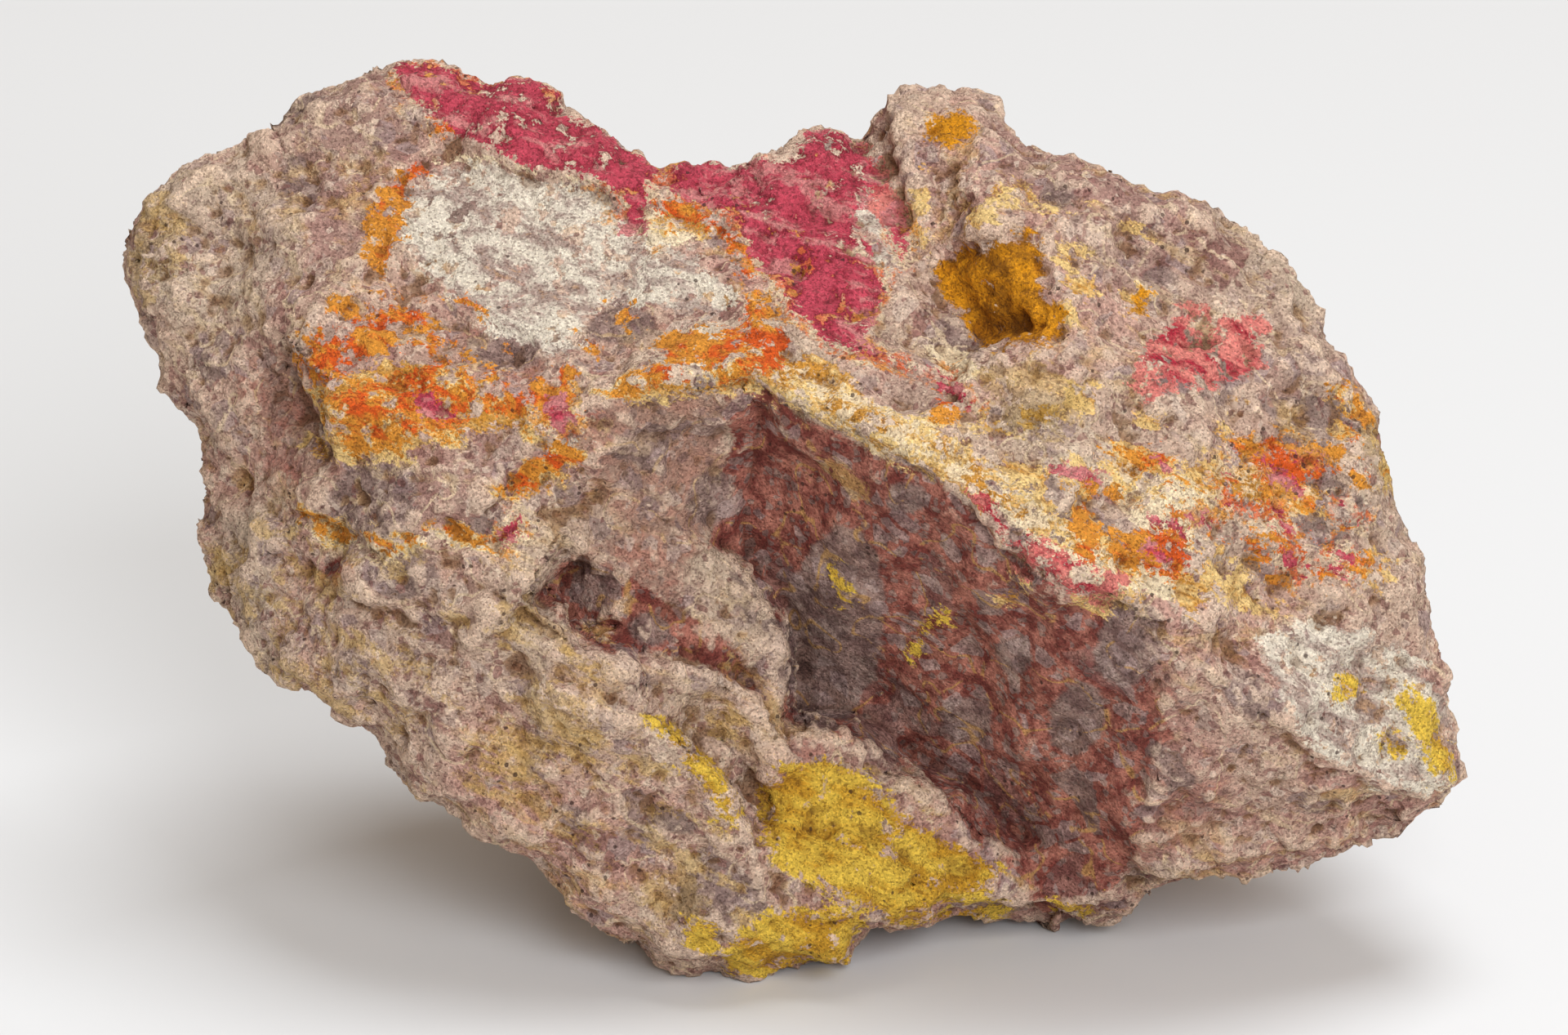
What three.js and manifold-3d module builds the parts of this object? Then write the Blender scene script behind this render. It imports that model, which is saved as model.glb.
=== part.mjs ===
// Phoenicochroite on matrix: one rough block of breccia, coated on its slip face with a red lead chromate.
// It is one piece of stone: a coated slip face, a broken hollow under it, a shoulder, a peak and a foot.
// Millimetres, +Z up, +X to the right, +Y away from the viewer.
//
// The stone is drawn as a picture of it is: every place is [x, h, d], with x to the right and h up in the
// picture plane through the front foot, and d out of that plane towards the eye. The eye looks down.
import * as THREE from "three";
import { ImprovedNoise } from "three/addons/math/ImprovedNoise.js";
import { mergeVertices } from "three/addons/utils/BufferGeometryUtils.js";
import Module from "manifold-3d";

// The picture
const viewTilt = THREE.MathUtils.degToRad(22); // how far the eye looks down
const viewDistance = 800; // from the eye to the picture plane
const viewCentre = { x: -0.4, h: 41.7 }; // where the line of sight meets the picture plane
const pictureTop = 90; // the stone stays under this and within the half width on both sides
const pictureHalfWidth = 68;

// The front, which is seen
const frontSpacing = 2; // between surface points
const frontRounding = 3.5; // how far the front takes to turn into the outline
const frontLongest = 5; // longest edge that is left
const rimDrop = 5; // how far behind the front's face the outline lies
const grainWaves = [
  { length: 9, height: 0.5 },
  { length: 4.2, height: 0.32 },
];

// The back
const backSpacing = 3.1;
const backRounding = 9;
const backLongest = 5.4;
const wearRounds = 9; // how often its corners are evened out
const wearShare = 0.7; // how far a corner goes each time towards the middle of its neighbours
const rimCalm = 14; // the back is smoother than its full roughness this near to the outline
const backWaves = [
  { length: 17, height: 2.6 },
  { length: 7.5, height: 1.5 },
  { length: 4.4, height: 0.7 },
];

// The skin's points
const edgeSpacing = 1.7; // along an outline or a crest
const leastGap = 0.8; // between any two drawn points
const rimInsets = [0.8, 2]; // rows of points that follow the outline inside it
const fillGap = 0.62; // least gap around a filling point, as a share of the spacing
const fillShift = 0.3; // how far filling points leave their even rows, as a share of the spacing
const skinRounds = 300; // how often the skin is eased over its crests and spots
const spotRounds = 4; // and then over its crests alone
const leastRelief = 0.4; // front and back stay this far apart near the outline
const floorBlock = 300;

// The outline that front and back share, clockwise from the left foot over the peaks to the right foot.
const upperOutline = [
  [-16.8, 3.4], [-19.3, 5.4], [-22, 9], [-25.2, 11.2], [-28, 12.4], [-29.7, 14.5], [-33.2, 15.8],
  [-36, 18], [-38.2, 21.3], [-40.7, 22.2], [-42, 24.3], [-44, 26.3], [-46.2, 26], [-48.4, 27.6],
  [-50, 30.3], [-51.4, 32.9], [-53.2, 35.2], [-53.8, 40], [-53.2, 43.4], [-53.3, 45.4], [-54.8, 50],
  [-57.6, 54.2], [-57.4, 56.3], [-59.6, 59.8], [-61.2, 64], [-61.7, 67.7], [-60.6, 70], [-58.8, 71.9],
  [-57, 73.6], [-53.3, 75], [-49.4, 75.8], [-49, 76.9], [-46.9, 76.9], [-45, 79.9], [-42, 82],
  [-38.6, 84], [-36.3, 84.2], [-33.5, 83.4], [-30, 82.3], [-27.2, 81.8], [-24.4, 82.3], [-22.2, 81.7],
  [-20.9, 80.7], [-20.8, 79.4], [-18.8, 78.2], [-16.4, 76.7], [-14.2, 75.2], [-11.8, 73.7], [-10, 74.4],
  [-6.8, 74], [-3.2, 73.4], [-2.7, 74.3], [0, 74.6], [1, 76.4], [2.4, 77.4], [4.8, 77.5], [6.4, 76.9],
  [7.4, 78.3], [9.6, 80], [12.7, 80.8], [14.6, 80.7], [16.2, 81.5], [18.3, 81.2], [19.7, 77.9],
  [22.7, 75.7], [26, 74.3], [29.3, 72.5], [33.5, 71.9], [36, 72.4], [39.8, 69.8], [41.8, 67.6],
  [43.4, 65.3], [45.2, 64.6], [47.2, 62.7], [48.7, 59.7], [50, 57.3], [51.2, 57], [52.6, 54],
  [53.6, 52.1], [54.6, 51.5], [54.2, 49.6], [55.3, 46], [57.2, 40], [57.4, 37.5], [58.9, 33.4],
  [60.3, 29.5], [60.5, 26.8], [60.1, 25.5], [61.3, 20.5], [61.9, 18.5], [61.7, 16.9], [60.2, 14.8],
  [58.5, 14.6], [57.4, 12.9], [55.7, 11.8], [53.5, 12.2], [50.8, 10.5], [46, 10.1], [42.6, 9], [39.3, 9],
  [36.5, 8], [33, 6.9],
];

// The rest of the outline, from right to left along the feet. Only here is its depth drawn too.
const footOutline = [
  [30.6, 5.3, -6.5], [27, 4.6, -8], [24.4, 3.6, -8.5], [22.6, 4.4, -8.5], [19, 5.2, -7], [15.3, 5, -3.5],
  [13, 4.1, -1.5], [10, 4, -0.5], [8.3, 4.6, -0.5], [6.3, 2.8, -0.5], [5.8, 0.4, 0], [2.4, 0.7, 0],
  [-1, 0.8, 0], [-3.3, -0.2, 0.5], [-8, 0, 0.5], [-10.8, 0.2, 0.5], [-13.8, 1.7, 0.5],
];

// Crests, valleys and lips of the front: each is one line that the surface follows.
const frontLines = {
  slipEdge: [
    [-24, 46, 18.5], [-20.5, 48.3, 20], [-18, 50.6, 21], [-14.5, 52.9, 22], [-11.5, 53.7, 22.5],
    [-8, 53.2, 23], [-5, 53.6, 23], [-2.5, 54.7, 22], [0, 52.2, 23.5], [4, 50, 24.5], [10, 47.5, 25.5],
    [14, 45.5, 26.5], [16.5, 43.3, 27], [18.6, 40.3, 28], [22, 37.7, 28], [27.5, 35.1, 28],
    [31, 34.5, 27], [33.4, 32, 26],
  ],
  hollowValley: [
    [-2.6, 51, 18], [-3.2, 47.3, 13], [-4.2, 42, 9.5], [-4, 39.3, 7.5], [-2.4, 36, 6], [-0.4, 33, 4],
    [0.9, 29.5, 1.5], [0.9, 26, -1.5], [1.2, 24, -3],
  ],
  wedgeEdge: [
    [-5.8, 39, 11], [-4.1, 36, 11.5], [-2.2, 33, 11.5], [-0.9, 29.5, 11.5], [-0.9, 26, 11],
    [-1.3, 23.6, 10.5],
  ],
  shelfCrest: [
    [-1.9, 21.7, 10], [1.5, 22.2, 8.5], [5.8, 22.5, 6.5], [7.4, 21, 7], [10.8, 17.8, 7.5], [15.1, 16, 6],
    [17.3, 13.5, 5], [19.4, 11.3, 3.5], [22, 10.2, 1],
  ],
  shelfFoot: [
    [2.8, 24, -2.5], [6.2, 24.2, -1], [8.8, 22.4, -1.5], [12, 19.4, -1.5], [16.2, 17.6, -0.5],
    [18.9, 15, -1], [21.2, 12.6, -2],
  ],
  longCrest: [
    [-24.6, 34.4, 20.5], [-21.5, 32.2, 20], [-19, 29.8, 19.5], [-15.4, 29.5, 18.5], [-11.8, 28.2, 17],
    [-7.5, 27.2, 15], [-5, 25.3, 13.5], [-3.4, 23.3, 12], [-2.6, 20, 11], [-2.4, 17.2, 10],
  ],
  pocketFloor: [
    [-20, 37.2, 12], [-21.8, 35.4, 11.5], [-20.5, 32.9, 11], [-18.2, 31.3, 11.5], [-14.5, 31, 13.5],
  ],
  pocketLip: [[-24.6, 34.9, 21], [-22.8, 36.3, 21.5], [-21.3, 38, 21], [-20.5, 39.6, 20]],
  yellowRidge: [
    [-16.4, 27.1, 19.5], [-11.8, 23.1, 18.5], [-8.2, 19.9, 17], [-5.7, 16.7, 15.5], [-3.5, 11.6, 12.5],
    [-0.3, 8.4, 10.5],
  ],
  trough: [[-13, 26.3, 16], [-9.5, 24, 13], [-6.5, 21.5, 10.4], [-4, 18.2, 8.2], [-2.2, 14.6, 7.8]],
  shoulderRidge: [
    [-36, 82.8, -3.5], [-35, 79, 0], [-33.3, 75.8, 3], [-36.5, 71.5, 4.5], [-39.5, 67, 6.5],
    [-43, 62.5, 9], [-46.3, 58.4, 11.5],
  ],
  slipLip: [[-45, 56, 13.5], [-42.6, 54, 15.5], [-41.5, 51.6, 16.5], [-42.5, 49.6, 16]],
  sidePocket: [[-48.4, 57, 4.8], [-46.6, 54.4, 5.5], [-44.6, 52.4, 7.5], [-44, 50.4, 10.4]],
  sideCrease: [[-52.2, 45, -1.5], [-51.4, 42, 0.5], [-50.8, 38.5, 1], [-50, 34.5, 1]],
  gutter: [
    [5.8, 75.4, 4.5], [8.8, 73.6, 6.5], [10.6, 71, 8.5], [10.3, 67.5, 11], [9.2, 63.5, 14],
    [8.2, 60.8, 16], [9.5, 58, 18.5], [12.5, 55.3, 20.5], [15.6, 52.3, 22.5],
  ],
  peakRidge: [
    [16.6, 80.2, 1.5], [14.5, 77.5, 7], [16.3, 73, 12], [18.8, 69, 15.5], [22.3, 64.5, 18.5],
    [25.2, 60.5, 20.5],
  ],
  ochreHollow: [[14.2, 70, 10], [13.8, 65, 11], [15.5, 60.5, 12.6], [18, 58.8, 13.8], [22, 59.2, 16]],
  blockRim: [[16.6, 53, 23], [18, 55.8, 22.5], [21, 57.2, 22], [24, 57.4, 22], [26.5, 56.3, 22.5]],
  whiteEdge: [
    [37.5, 28.3, 24], [41, 25.8, 22], [44.5, 23, 20], [48, 20.3, 17.5], [51.5, 18.3, 14.5],
    [55, 17.4, 11.5], [58.6, 17.2, 7],
  ],
  bandTurn: [[37, 11.8, 7.5], [42, 12.2, 7], [47, 13, 6], [52, 14, 4.5], [55.6, 14.8, 3]],
  hollowSide: [[34.2, 29.3, 25], [34.3, 24, 21], [33.8, 18, 16], [33, 12, 9.5], [31, 8, 3.5]],
  basinLip: [[3, 8.3, 10.2], [7.5, 9.2, 9.5], [10.5, 8.6, 8.5], [14, 7.4, 6.5], [18, 8, 3.5]],
  basinFloor: [[0, 14.5, 7.8], [4.5, 13.6, 7.6], [9, 12.7, 7.2], [13.5, 12, 6]],
};

// Single places on the broad faces between those lines.
const frontSpots = [
  [-50, 67, 2], [-56, 66, -3], [-44, 72, 1.5], [-42, 77, -1.5], [-52, 61, 1.5], [-54, 71, -4],
  [-38, 78, -0.5], [-40, 58, 13.5], [-33, 55, 16.8], [-25, 52, 20.2], [-30, 62, 11.4], [-20, 60, 14.7],
  [-25, 70, 5.9], [-12, 62, 14.4], [-17, 69, 8], [-5, 60, 17.2], [-6, 67, 12], [3, 57, 20.9],
  [3, 66, 13.7], [-25, 77, 0.6], [-13.5, 70, 6.3], [-8, 71, 8.5], [1, 71, 9], [-50, 54, 3],
  [-53, 56.5, -1], [-51, 49, 2.5], [-47, 47.5, 9], [-44, 44, 13], [-38, 46, 18.5], [-32, 47, 20.5],
  [-28, 44, 22], [-26, 41, 22.5], [-36, 41.5, 20], [-48, 40, 4], [-44, 36, 11], [-38, 36, 18],
  [-32.5, 37, 21.5], [-27.5, 37.5, 22.5], [-30, 31.5, 20.5], [-35, 28, 17], [-42, 28, 7], [-27, 24, 17.5],
  [-20, 22, 18], [-33, 20, 9], [-25, 16, 12], [-15, 15, 14.5], [-20, 11, 10], [-9, 9, 12], [-16, 7, 9],
  [-12, 4, 7], [-6, 4, 7], [0, 4, 6.5], [4.5, 4, 5], [-10, 48, 18], [-14, 46, 17.5], [-18, 45, 18.5],
  [-9, 42, 13], [-14, 40, 15.5], [-18, 41, 16.5], [-9, 36.5, 13], [-13, 34, 15], [-6, 32, 13.5],
  [-10, 31, 15.5], [-4, 27.4, 12.8], [8, 42, 17.9], [5, 34, 8.6], [15, 38, 18.9], [22, 32, 18.1],
  [10, 28, 6.5], [17, 26, 9.3], [25, 24, 12.8], [22, 18, 5.4], [28, 14, 5.8], [29, 28, 19.4],
  [26, 9, -0.5], [23.5, 6.5, -5], [22, 72, 11], [30, 67, 11.5], [36, 66, 9], [29, 60, 19], [35, 58, 17.5],
  [42, 58, 11.5], [30, 52, 23.5], [38, 50, 20.5], [46, 50, 12.5], [22, 50, 25], [25, 44, 26.5],
  [33, 44, 25.5], [41, 42, 21.5], [49, 42, 13.5], [37, 36, 24.5], [45, 33, 20.5], [52, 34, 13.5],
  [42, 29.5, 22.8], [49, 26, 18.5], [55, 24, 13], [57, 32, 7.5], [58.8, 21, 8], [37.5, 20, 17.5],
  [43, 18, 15], [49, 16, 11], [38.5, 15.5, 12],
];

// The back is broken into a few broad faces that meet along three crests.
const backLines = {
  leftSpine: [[-36, 72, -19], [-27, 58, -28], [-20, 45, -34], [-13, 32, -38], [-7, 21, -38]],
  rightSpine: [[24, 64, -21], [19, 50, -31], [16, 36, -38], [16, 22, -38]],
  sideSpine: [[-47, 52, -21], [-34, 47, -29], [-20, 45, -34]],
  rightArm: [[16, 36, -38], [30, 34, -31], [46, 30, -19]],
};
const backSpots = [
  [-52, 66, -20], [-44, 62, -23], [-20, 66, -18], [0, 64, -17], [-4, 52, -26], [0, 38, -34], [4, 24, -38],
  [10, 66, -14], [34, 58, -22], [44, 50, -17], [50, 40, -14], [52, 24, -12], [40, 20, -18], [30, 22, -28],
  [-30, 33, -27], [-42, 40, -20], [-44, 32, -13], [-34, 24, -15], [-24, 18, -19], [-14, 12, -20],
];

// The underside. Where it reaches below the table it is cut flat, which leaves three feet to stand on.
const underSpots = [
  [-10, 1.4, -5.5], [-5, 2.2, -8], [1, 2.4, -8.5], [4, 3.6, -11], [25, 4.4, -16], [22, 5.6, -19],
  [-9, 7.6, -17.5], [-8, 9.6, -28.5], [-1, 9.8, -30], [7, 10.4, -31.5], [15, 10.2, -31], [21, 9.4, -27.5],
  [12, 6.8, -14], [4, 8, -18.4], [14, 9.4, -22], [-2, 16, -38], [10, 16, -38.5], [30, 12, -20],
  [38, 12, -10],
];

// Lumps of hard rock that stand out and pits where one has fallen out: [x, h, radius, height].
const frontSwells = [
  [-36.5, 37, 4.6, 1.6], [-30.5, 37, 3, 0.9], [-37.5, 43.5, 5, 0.7], [-25, 41.5, 2.6, 0.8],
  [-34, 32.6, 2.6, -1.6], [-41.5, 38, 3, -1.4], [-15.5, 60.5, 4.6, -0.9], [-22.5, 81, 2.2, 0.8],
  [-44, 72.5, 4, -1.2], [-49, 66, 3, -0.8], [-17.5, 17, 3, -1.2], [-12.5, 15.5, 3, -1],
  [-23.5, 26, 4, 0.8], [-8, 7.5, 3.2, 0.7], [-21, 15.5, 3, 0.8], [18.5, 72.5, 3.4, 0.9],
  [12.8, 77.5, 2.4, -0.9], [33, 66.5, 3, -0.8], [35.5, 62.5, 3.2, 0.6], [26, 67, 4, 0.7],
  [30, 31, 4.2, 0.5], [55, 43, 2, -0.8], [55.4, 38.5, 1.8, -1.2], [43, 46, 4, 0.6], [20.5, 52, 4, 0.7],
  [24.5, 43.5, 3.2, 0.7], [52, 16, 3, 0.8], [5, 32, 6, 0.6], [-11, 44.5, 3.6, 0.8], [27, 16, 3, -0.6],
  [9.6, 6.4, 2, 0.8], [14.4, 6, 1.6, -0.8], [3.6, 2.6, 2.2, 0.7], [42, 38, 3, -0.5], [-45.5, 33, 3, 0.9],
];

// A place in the picture as a point in space. What is nearer the eye looks larger, so it is drawn in by
// that share.
function placed([x, h, d]) {
  const share = 1 - d / viewDistance;
  const across = viewCentre.x + (x - viewCentre.x) * share;
  const up = viewCentre.h + (h - viewCentre.h) * share;
  const sin = Math.sin(viewTilt);
  const cos = Math.cos(viewTilt);
  return new THREE.Vector3(across, up * sin - d * cos, up * cos + d * sin);
}

const flatDistance = (a, b) => Math.hypot(a[0] - b[0], a[1] - b[1]);
const flatPlace = ([x, h]) => [x, h];

// Points along a line of places, a step or less apart, with its corners kept.
function sampled(line, step) {
  const points = [];
  line.slice(1).forEach((to, i) => {
    const from = line[i];
    const count = Math.max(1, Math.round(flatDistance(from, to) / step));
    for (let k = 0; k < count; k++) {
      points.push(from.map((value, axis) => value + ((to[axis] - value) * k) / count));
    }
  });
  points.push(line.at(-1));
  return points;
}

const upperCorners = [footOutline.at(-1), ...upperOutline, footOutline[0]].map(flatPlace);
const upperRim = sampled(upperCorners, edgeSpacing).slice(1, -1);
const rim = [...upperRim, ...sampled(footOutline, edgeSpacing)];
const rimAfter = (i) => (i + 1) % rim.length;
const rimBefore = (i) => (i + rim.length - 1) % rim.length;

function insideRim([x, h]) {
  let inside = false;
  rim.forEach((a, i) => {
    const b = rim[rimAfter(i)];
    const spans = a[1] > h !== b[1] > h;
    if (spans && x < ((b[0] - a[0]) * (h - a[1])) / (b[1] - a[1]) + a[0]) inside = !inside;
  });
  return inside;
}

// The nearest place on the outline: how far off it is, and where between two points of the rim.
function nearestOnRim([x, h]) {
  let best = { distance: Infinity };
  rim.forEach((a, i) => {
    const b = rim[rimAfter(i)];
    const dx = b[0] - a[0];
    const dh = b[1] - a[1];
    const share = THREE.MathUtils.clamp(((x - a[0]) * dx + (h - a[1]) * dh) / (dx * dx + dh * dh), 0, 1);
    const distance = Math.hypot(x - a[0] - share * dx, h - a[1] - share * dh);
    if (distance < best.distance) best = { distance, from: i, to: rimAfter(i), share };
  });
  return best;
}

// A triangle of flat points with its circumcircle.
function withCircle(places, a, b, c) {
  const [ax, ay] = places[a];
  const bx = places[b][0] - ax;
  const by = places[b][1] - ay;
  const cx = places[c][0] - ax;
  const cy = places[c][1] - ay;
  const area = 2 * (bx * cy - by * cx);
  const ux = (cy * (bx * bx + by * by) - by * (cx * cx + cy * cy)) / area;
  const uy = (bx * (cx * cx + cy * cy) - cx * (bx * bx + by * by)) / area;
  return { corners: [a, b, c], x: ax + ux, y: ay + uy, r2: ux * ux + uy * uy };
}

// Delaunay triangles of flat points. Each point in turn opens the triangles whose circles hold it.
function triangulated(points) {
  const far = 1000;
  const places = [...points, [-far, -far], [far, -far], [0, far]];
  const n = points.length;
  let triangles = [withCircle(places, n, n + 1, n + 2)];
  for (let i = 0; i < n; i++) {
    const [px, py] = places[i];
    const open = new Map();
    triangles = triangles.filter((t) => {
      if ((px - t.x) ** 2 + (py - t.y) ** 2 > t.r2) return true;
      t.corners.forEach((from, k) => {
        const to = t.corners[(k + 1) % 3];
        if (!open.delete(to * places.length + from)) open.set(from * places.length + to, [from, to]);
      });
      return false;
    });
    for (const [from, to] of open.values()) triangles.push(withCircle(places, from, to, i));
  }
  return triangles.map((t) => t.corners).filter((corners) => corners.every((c) => c < n));
}

// Rows of points that follow the outline, so that the skin turns into it evenly.
function insetPlaces(inset) {
  return rim.map((place, i) => {
    const before = rim[rimBefore(i)];
    const after = rim[rimAfter(i)];
    const along = new THREE.Vector2(after[0] - before[0], after[1] - before[1]).normalize();
    return [place[0] + along.y * inset, place[1] - along.x * inset];
  });
}

// Rows of points over the whole picture, each a little off its place so that no grid shows.
function fillPlaces(spacing) {
  const places = [];
  const rowHeight = spacing * Math.sqrt(0.75);
  const columns = Math.ceil(pictureHalfWidth / spacing);
  const shift = (i, k) => fillShift * spacing * Math.sin(12.9 * i + 78.2 * k);
  for (let row = 0; row * rowHeight < pictureTop; row++) {
    for (let column = -columns; column <= columns; column++) {
      const x = (column + (row % 2) / 2) * spacing;
      places.push([x + shift(column, row), row * rowHeight + shift(row, column)]);
    }
  }
  return places;
}

// Flat points for one side of the stone: the outline first, then the lines, the spots and an even filling.
function sidePoints(lines, spots, spacing) {
  const points = rim.map((place) => ({ place, kind: "rim" }));
  const add = (place, kind, gap) => {
    if (points.every((p) => flatDistance(p.place, place) > gap)) points.push({ place, kind });
  };
  for (const line of Object.values(lines)) {
    for (const place of sampled(line, edgeSpacing)) add(place, "line", leastGap);
  }
  for (const place of spots) add(place, "spot", leastGap);
  for (const inset of rimInsets) {
    for (const place of insetPlaces(inset)) {
      const clear = insideRim(place) && nearestOnRim(place).distance > 0.9 * inset;
      if (clear) add(place, "fill", 0.75 + inset / 4);
    }
  }
  for (const place of fillPlaces(spacing)) {
    if (insideRim(place)) add(place, "fill", fillGap * spacing);
  }
  return points;
}

// Triangles inside the outline. One with all its corners on the outline would be shared by front and back,
// so it gets a point of its own in the middle.
function sideTriangles(points) {
  const mean = (corners, axis) => corners.reduce((sum, c) => sum + points[c].place[axis], 0) / 3;
  const middle = (corners) => [mean(corners, 0), mean(corners, 1)];
  for (;;) {
    const inside = triangulated(points.map((p) => p.place)).filter((corners) => insideRim(middle(corners)));
    const flat = inside.filter((corners) => corners.every((c) => points[c].kind === "rim"));
    if (!flat.length) return inside;
    for (const corners of flat) points.push({ place: middle(corners), kind: "fill" });
  }
}

// For each corner, the corners that it shares a triangle with.
function neighbours(count, triangles) {
  const near = Array.from({ length: count }, () => new Set());
  for (const corners of triangles) {
    corners.forEach((corner, k) => near[corner].add(corners[(k + 1) % 3]).add(corners[(k + 2) % 3]));
  }
  return near.map((set) => [...set]);
}

// Stretches the surface over its lines and spots as a skin, then lets the spots ease so that none is a point.
function stretched(points, triangles) {
  const near = neighbours(points.length, triangles);
  const guides = points.filter((p) => p.kind === "line" || p.kind === "spot");
  const depth = points.map(({ place }) => {
    const gap = (guide) => flatDistance(guide.place, place);
    return guides.reduce((a, b) => (gap(a) < gap(b) ? a : b)).place[2];
  });
  const ease = (rounds, kinds) => {
    for (let round = 0; round < rounds; round++) {
      points.forEach((p, i) => {
        if (kinds.includes(p.kind)) depth[i] = near[i].reduce((sum, j) => sum + depth[j], 0) / near[i].length;
      });
    }
  };
  ease(skinRounds, ["rim", "fill"]);
  ease(spotRounds, ["rim", "fill", "spot"]);
  return depth;
}

const noise = new ImprovedNoise();
function grain(x, h, side) {
  return grainWaves.reduce((sum, wave, k) => {
    return sum + wave.height * noise.noise(x / wave.length, h / wave.length, side * 7.3 + k * 3.1);
  }, 0);
}

function swell(x, h, swells) {
  return swells.reduce((sum, [centreX, centreH, radius, height]) => {
    const share = 1 - Math.hypot(x - centreX, h - centreH) ** 2 / radius ** 2;
    return share > 0 ? sum + height * share * share : sum;
  }, 0);
}

// One side of the stone as drawn, before it is bent to the outline.
function drawnSide(lines, spots, spacing) {
  const points = sidePoints(lines, spots, spacing);
  const triangles = sideTriangles(points);
  return { points, triangles, depth: stretched(points, triangles) };
}

// Bends a drawn side round to the outline and gives it its grain. side is 1 for the front, -1 for the back.
function bentToRim({ points, depth }, side, rimDepth, rounding, swells) {
  return points.map(({ place: [x, h], kind }, i) => {
    if (kind === "rim") return [x, h, rimDepth[i]];
    const edge = nearestOnRim([x, h]);
    const edgeDepth = THREE.MathUtils.lerp(rimDepth[edge.from], rimDepth[edge.to], edge.share);
    const inward = Math.min(1, edge.distance / rounding);
    const turn = Math.sqrt(1 - (1 - inward) ** 2);
    const relief = side * (depth[i] - edgeDepth) + grain(x, h, side) + swell(x, h, swells);
    return [x, h, edgeDepth + side * Math.max(leastRelief, relief) * turn];
  });
}

// Both sides joined along the outline they share. No corner of the front is moved again.
function stoneSkin() {
  const front = drawnSide(frontLines, frontSpots, frontSpacing);
  const back = drawnSide(backLines, [...backSpots, ...underSpots], backSpacing);
  const rimDepth = rim.map((place, i) => place[2] ?? front.depth[i] - rimDrop);
  const corners = bentToRim(front, 1, rimDepth, frontRounding, frontSwells).map(placed);
  const frontTriangles = withShortEdges(corners, front.triangles, frontLongest);
  const firstBack = corners.length;
  corners.push(...bentToRim(back, -1, rimDepth, backRounding, []).slice(rim.length).map(placed));
  const backIndex = (i) => (i < rim.length ? i : i - rim.length + firstBack);
  const flipped = back.triangles.map(([a, b, c]) => [a, c, b].map(backIndex));
  const backTriangles = withShortEdges(corners, flipped, backLongest);
  wear(corners, backTriangles, firstBack);
  const skin = new THREE.BufferGeometry();
  skin.setAttribute("position", new THREE.Float32BufferAttribute(corners.flatMap((v) => v.toArray()), 3));
  skin.setIndex([...frontTriangles, ...backTriangles].flat());
  return skin;
}

// The edges of some triangles, each with its length and the triangles on it.
function edgesOf(corners, triangles) {
  const edges = new Map();
  for (const triangle of triangles) {
    triangle.forEach((a, k) => {
      const b = triangle[(k + 1) % 3];
      const key = `${Math.min(a, b)} ${Math.max(a, b)}`;
      if (!edges.has(key)) edges.set(key, { a, b, length: corners[a].distanceTo(corners[b]), owners: [] });
      edges.get(key).owners.push(triangle);
    });
  }
  return [...edges.values()];
}

// Cuts triangles in two at the middle of their longest edge, with its neighbour, until no edge is too long.
// An edge with one triangle lies on the outline, which both sides share, and is left whole.
function withShortEdges(corners, triangles, longest) {
  let result = triangles;
  for (;;) {
    const long = edgesOf(corners, result)
      .filter((edge) => edge.owners.length === 2 && edge.length > longest)
      .sort((one, other) => other.length - one.length);
    if (!long.length) return result;
    const used = new Set();
    const halves = [];
    for (const { a, b, owners } of long) {
      if (owners.some((triangle) => used.has(triangle))) continue;
      const middle = corners.length;
      corners.push(corners[a].clone().lerp(corners[b], 0.5));
      for (const triangle of owners) {
        used.add(triangle);
        halves.push(triangle.map((c) => (c === a ? middle : c)));
        halves.push(triangle.map((c) => (c === b ? middle : c)));
      }
    }
    result = [...result.filter((triangle) => !used.has(triangle)), ...halves];
  }
}

function normalsOf(corners, triangles) {
  const normals = corners.map(() => new THREE.Vector3());
  for (const [a, b, c] of triangles) {
    const face = corners[b].clone().sub(corners[a]).cross(corners[c].clone().sub(corners[a]));
    for (const corner of [a, b, c]) normals[corner].add(face);
  }
  return normals.map((normal) => normal.normalize());
}

// Evens out the corners of the back and then roughens them along their own normals.
function wear(corners, triangles, firstMoved) {
  const near = neighbours(corners.length, triangles);
  for (let round = 0; round < wearRounds; round++) {
    for (let i = firstMoved; i < corners.length; i++) {
      const sum = near[i].reduce((total, j) => total.add(corners[j]), new THREE.Vector3());
      corners[i].lerp(sum.divideScalar(near[i].length), wearShare);
    }
  }
  const normals = normalsOf(corners, triangles);
  const rimCorners = corners.slice(0, rim.length);
  for (let i = firstMoved; i < corners.length; i++) {
    const { x, y, z } = corners[i];
    const height = backWaves.reduce((sum, wave, k) => {
      return sum + wave.height * noise.noise(x / wave.length + k * 5.3, y / wave.length, z / wave.length);
    }, 0);
    const fromRim = Math.min(...rimCorners.map((corner) => corner.distanceTo(corners[i])));
    corners[i].addScaledVector(normals[i], height * Math.min(1, fromRim / rimCalm));
  }
}

const wasm = await Module();
wasm.setup();

function solidFrom(geometry) {
  const bare = geometry.clone();
  bare.deleteAttribute("normal");
  bare.deleteAttribute("uv");
  const merged = mergeVertices(bare);
  const triVerts = new Uint32Array(merged.index.array);
  const vertProperties = merged.attributes.position.array;
  return new wasm.Manifold(new wasm.Mesh({ numProp: 3, vertProperties, triVerts }));
}

function geometryFrom(solid) {
  const mesh = solid.getMesh();
  const geometry = new THREE.BufferGeometry();
  geometry.setAttribute("position", new THREE.BufferAttribute(mesh.vertProperties, 3));
  geometry.setIndex(new THREE.BufferAttribute(mesh.triVerts, 1));
  return geometry;
}

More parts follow.
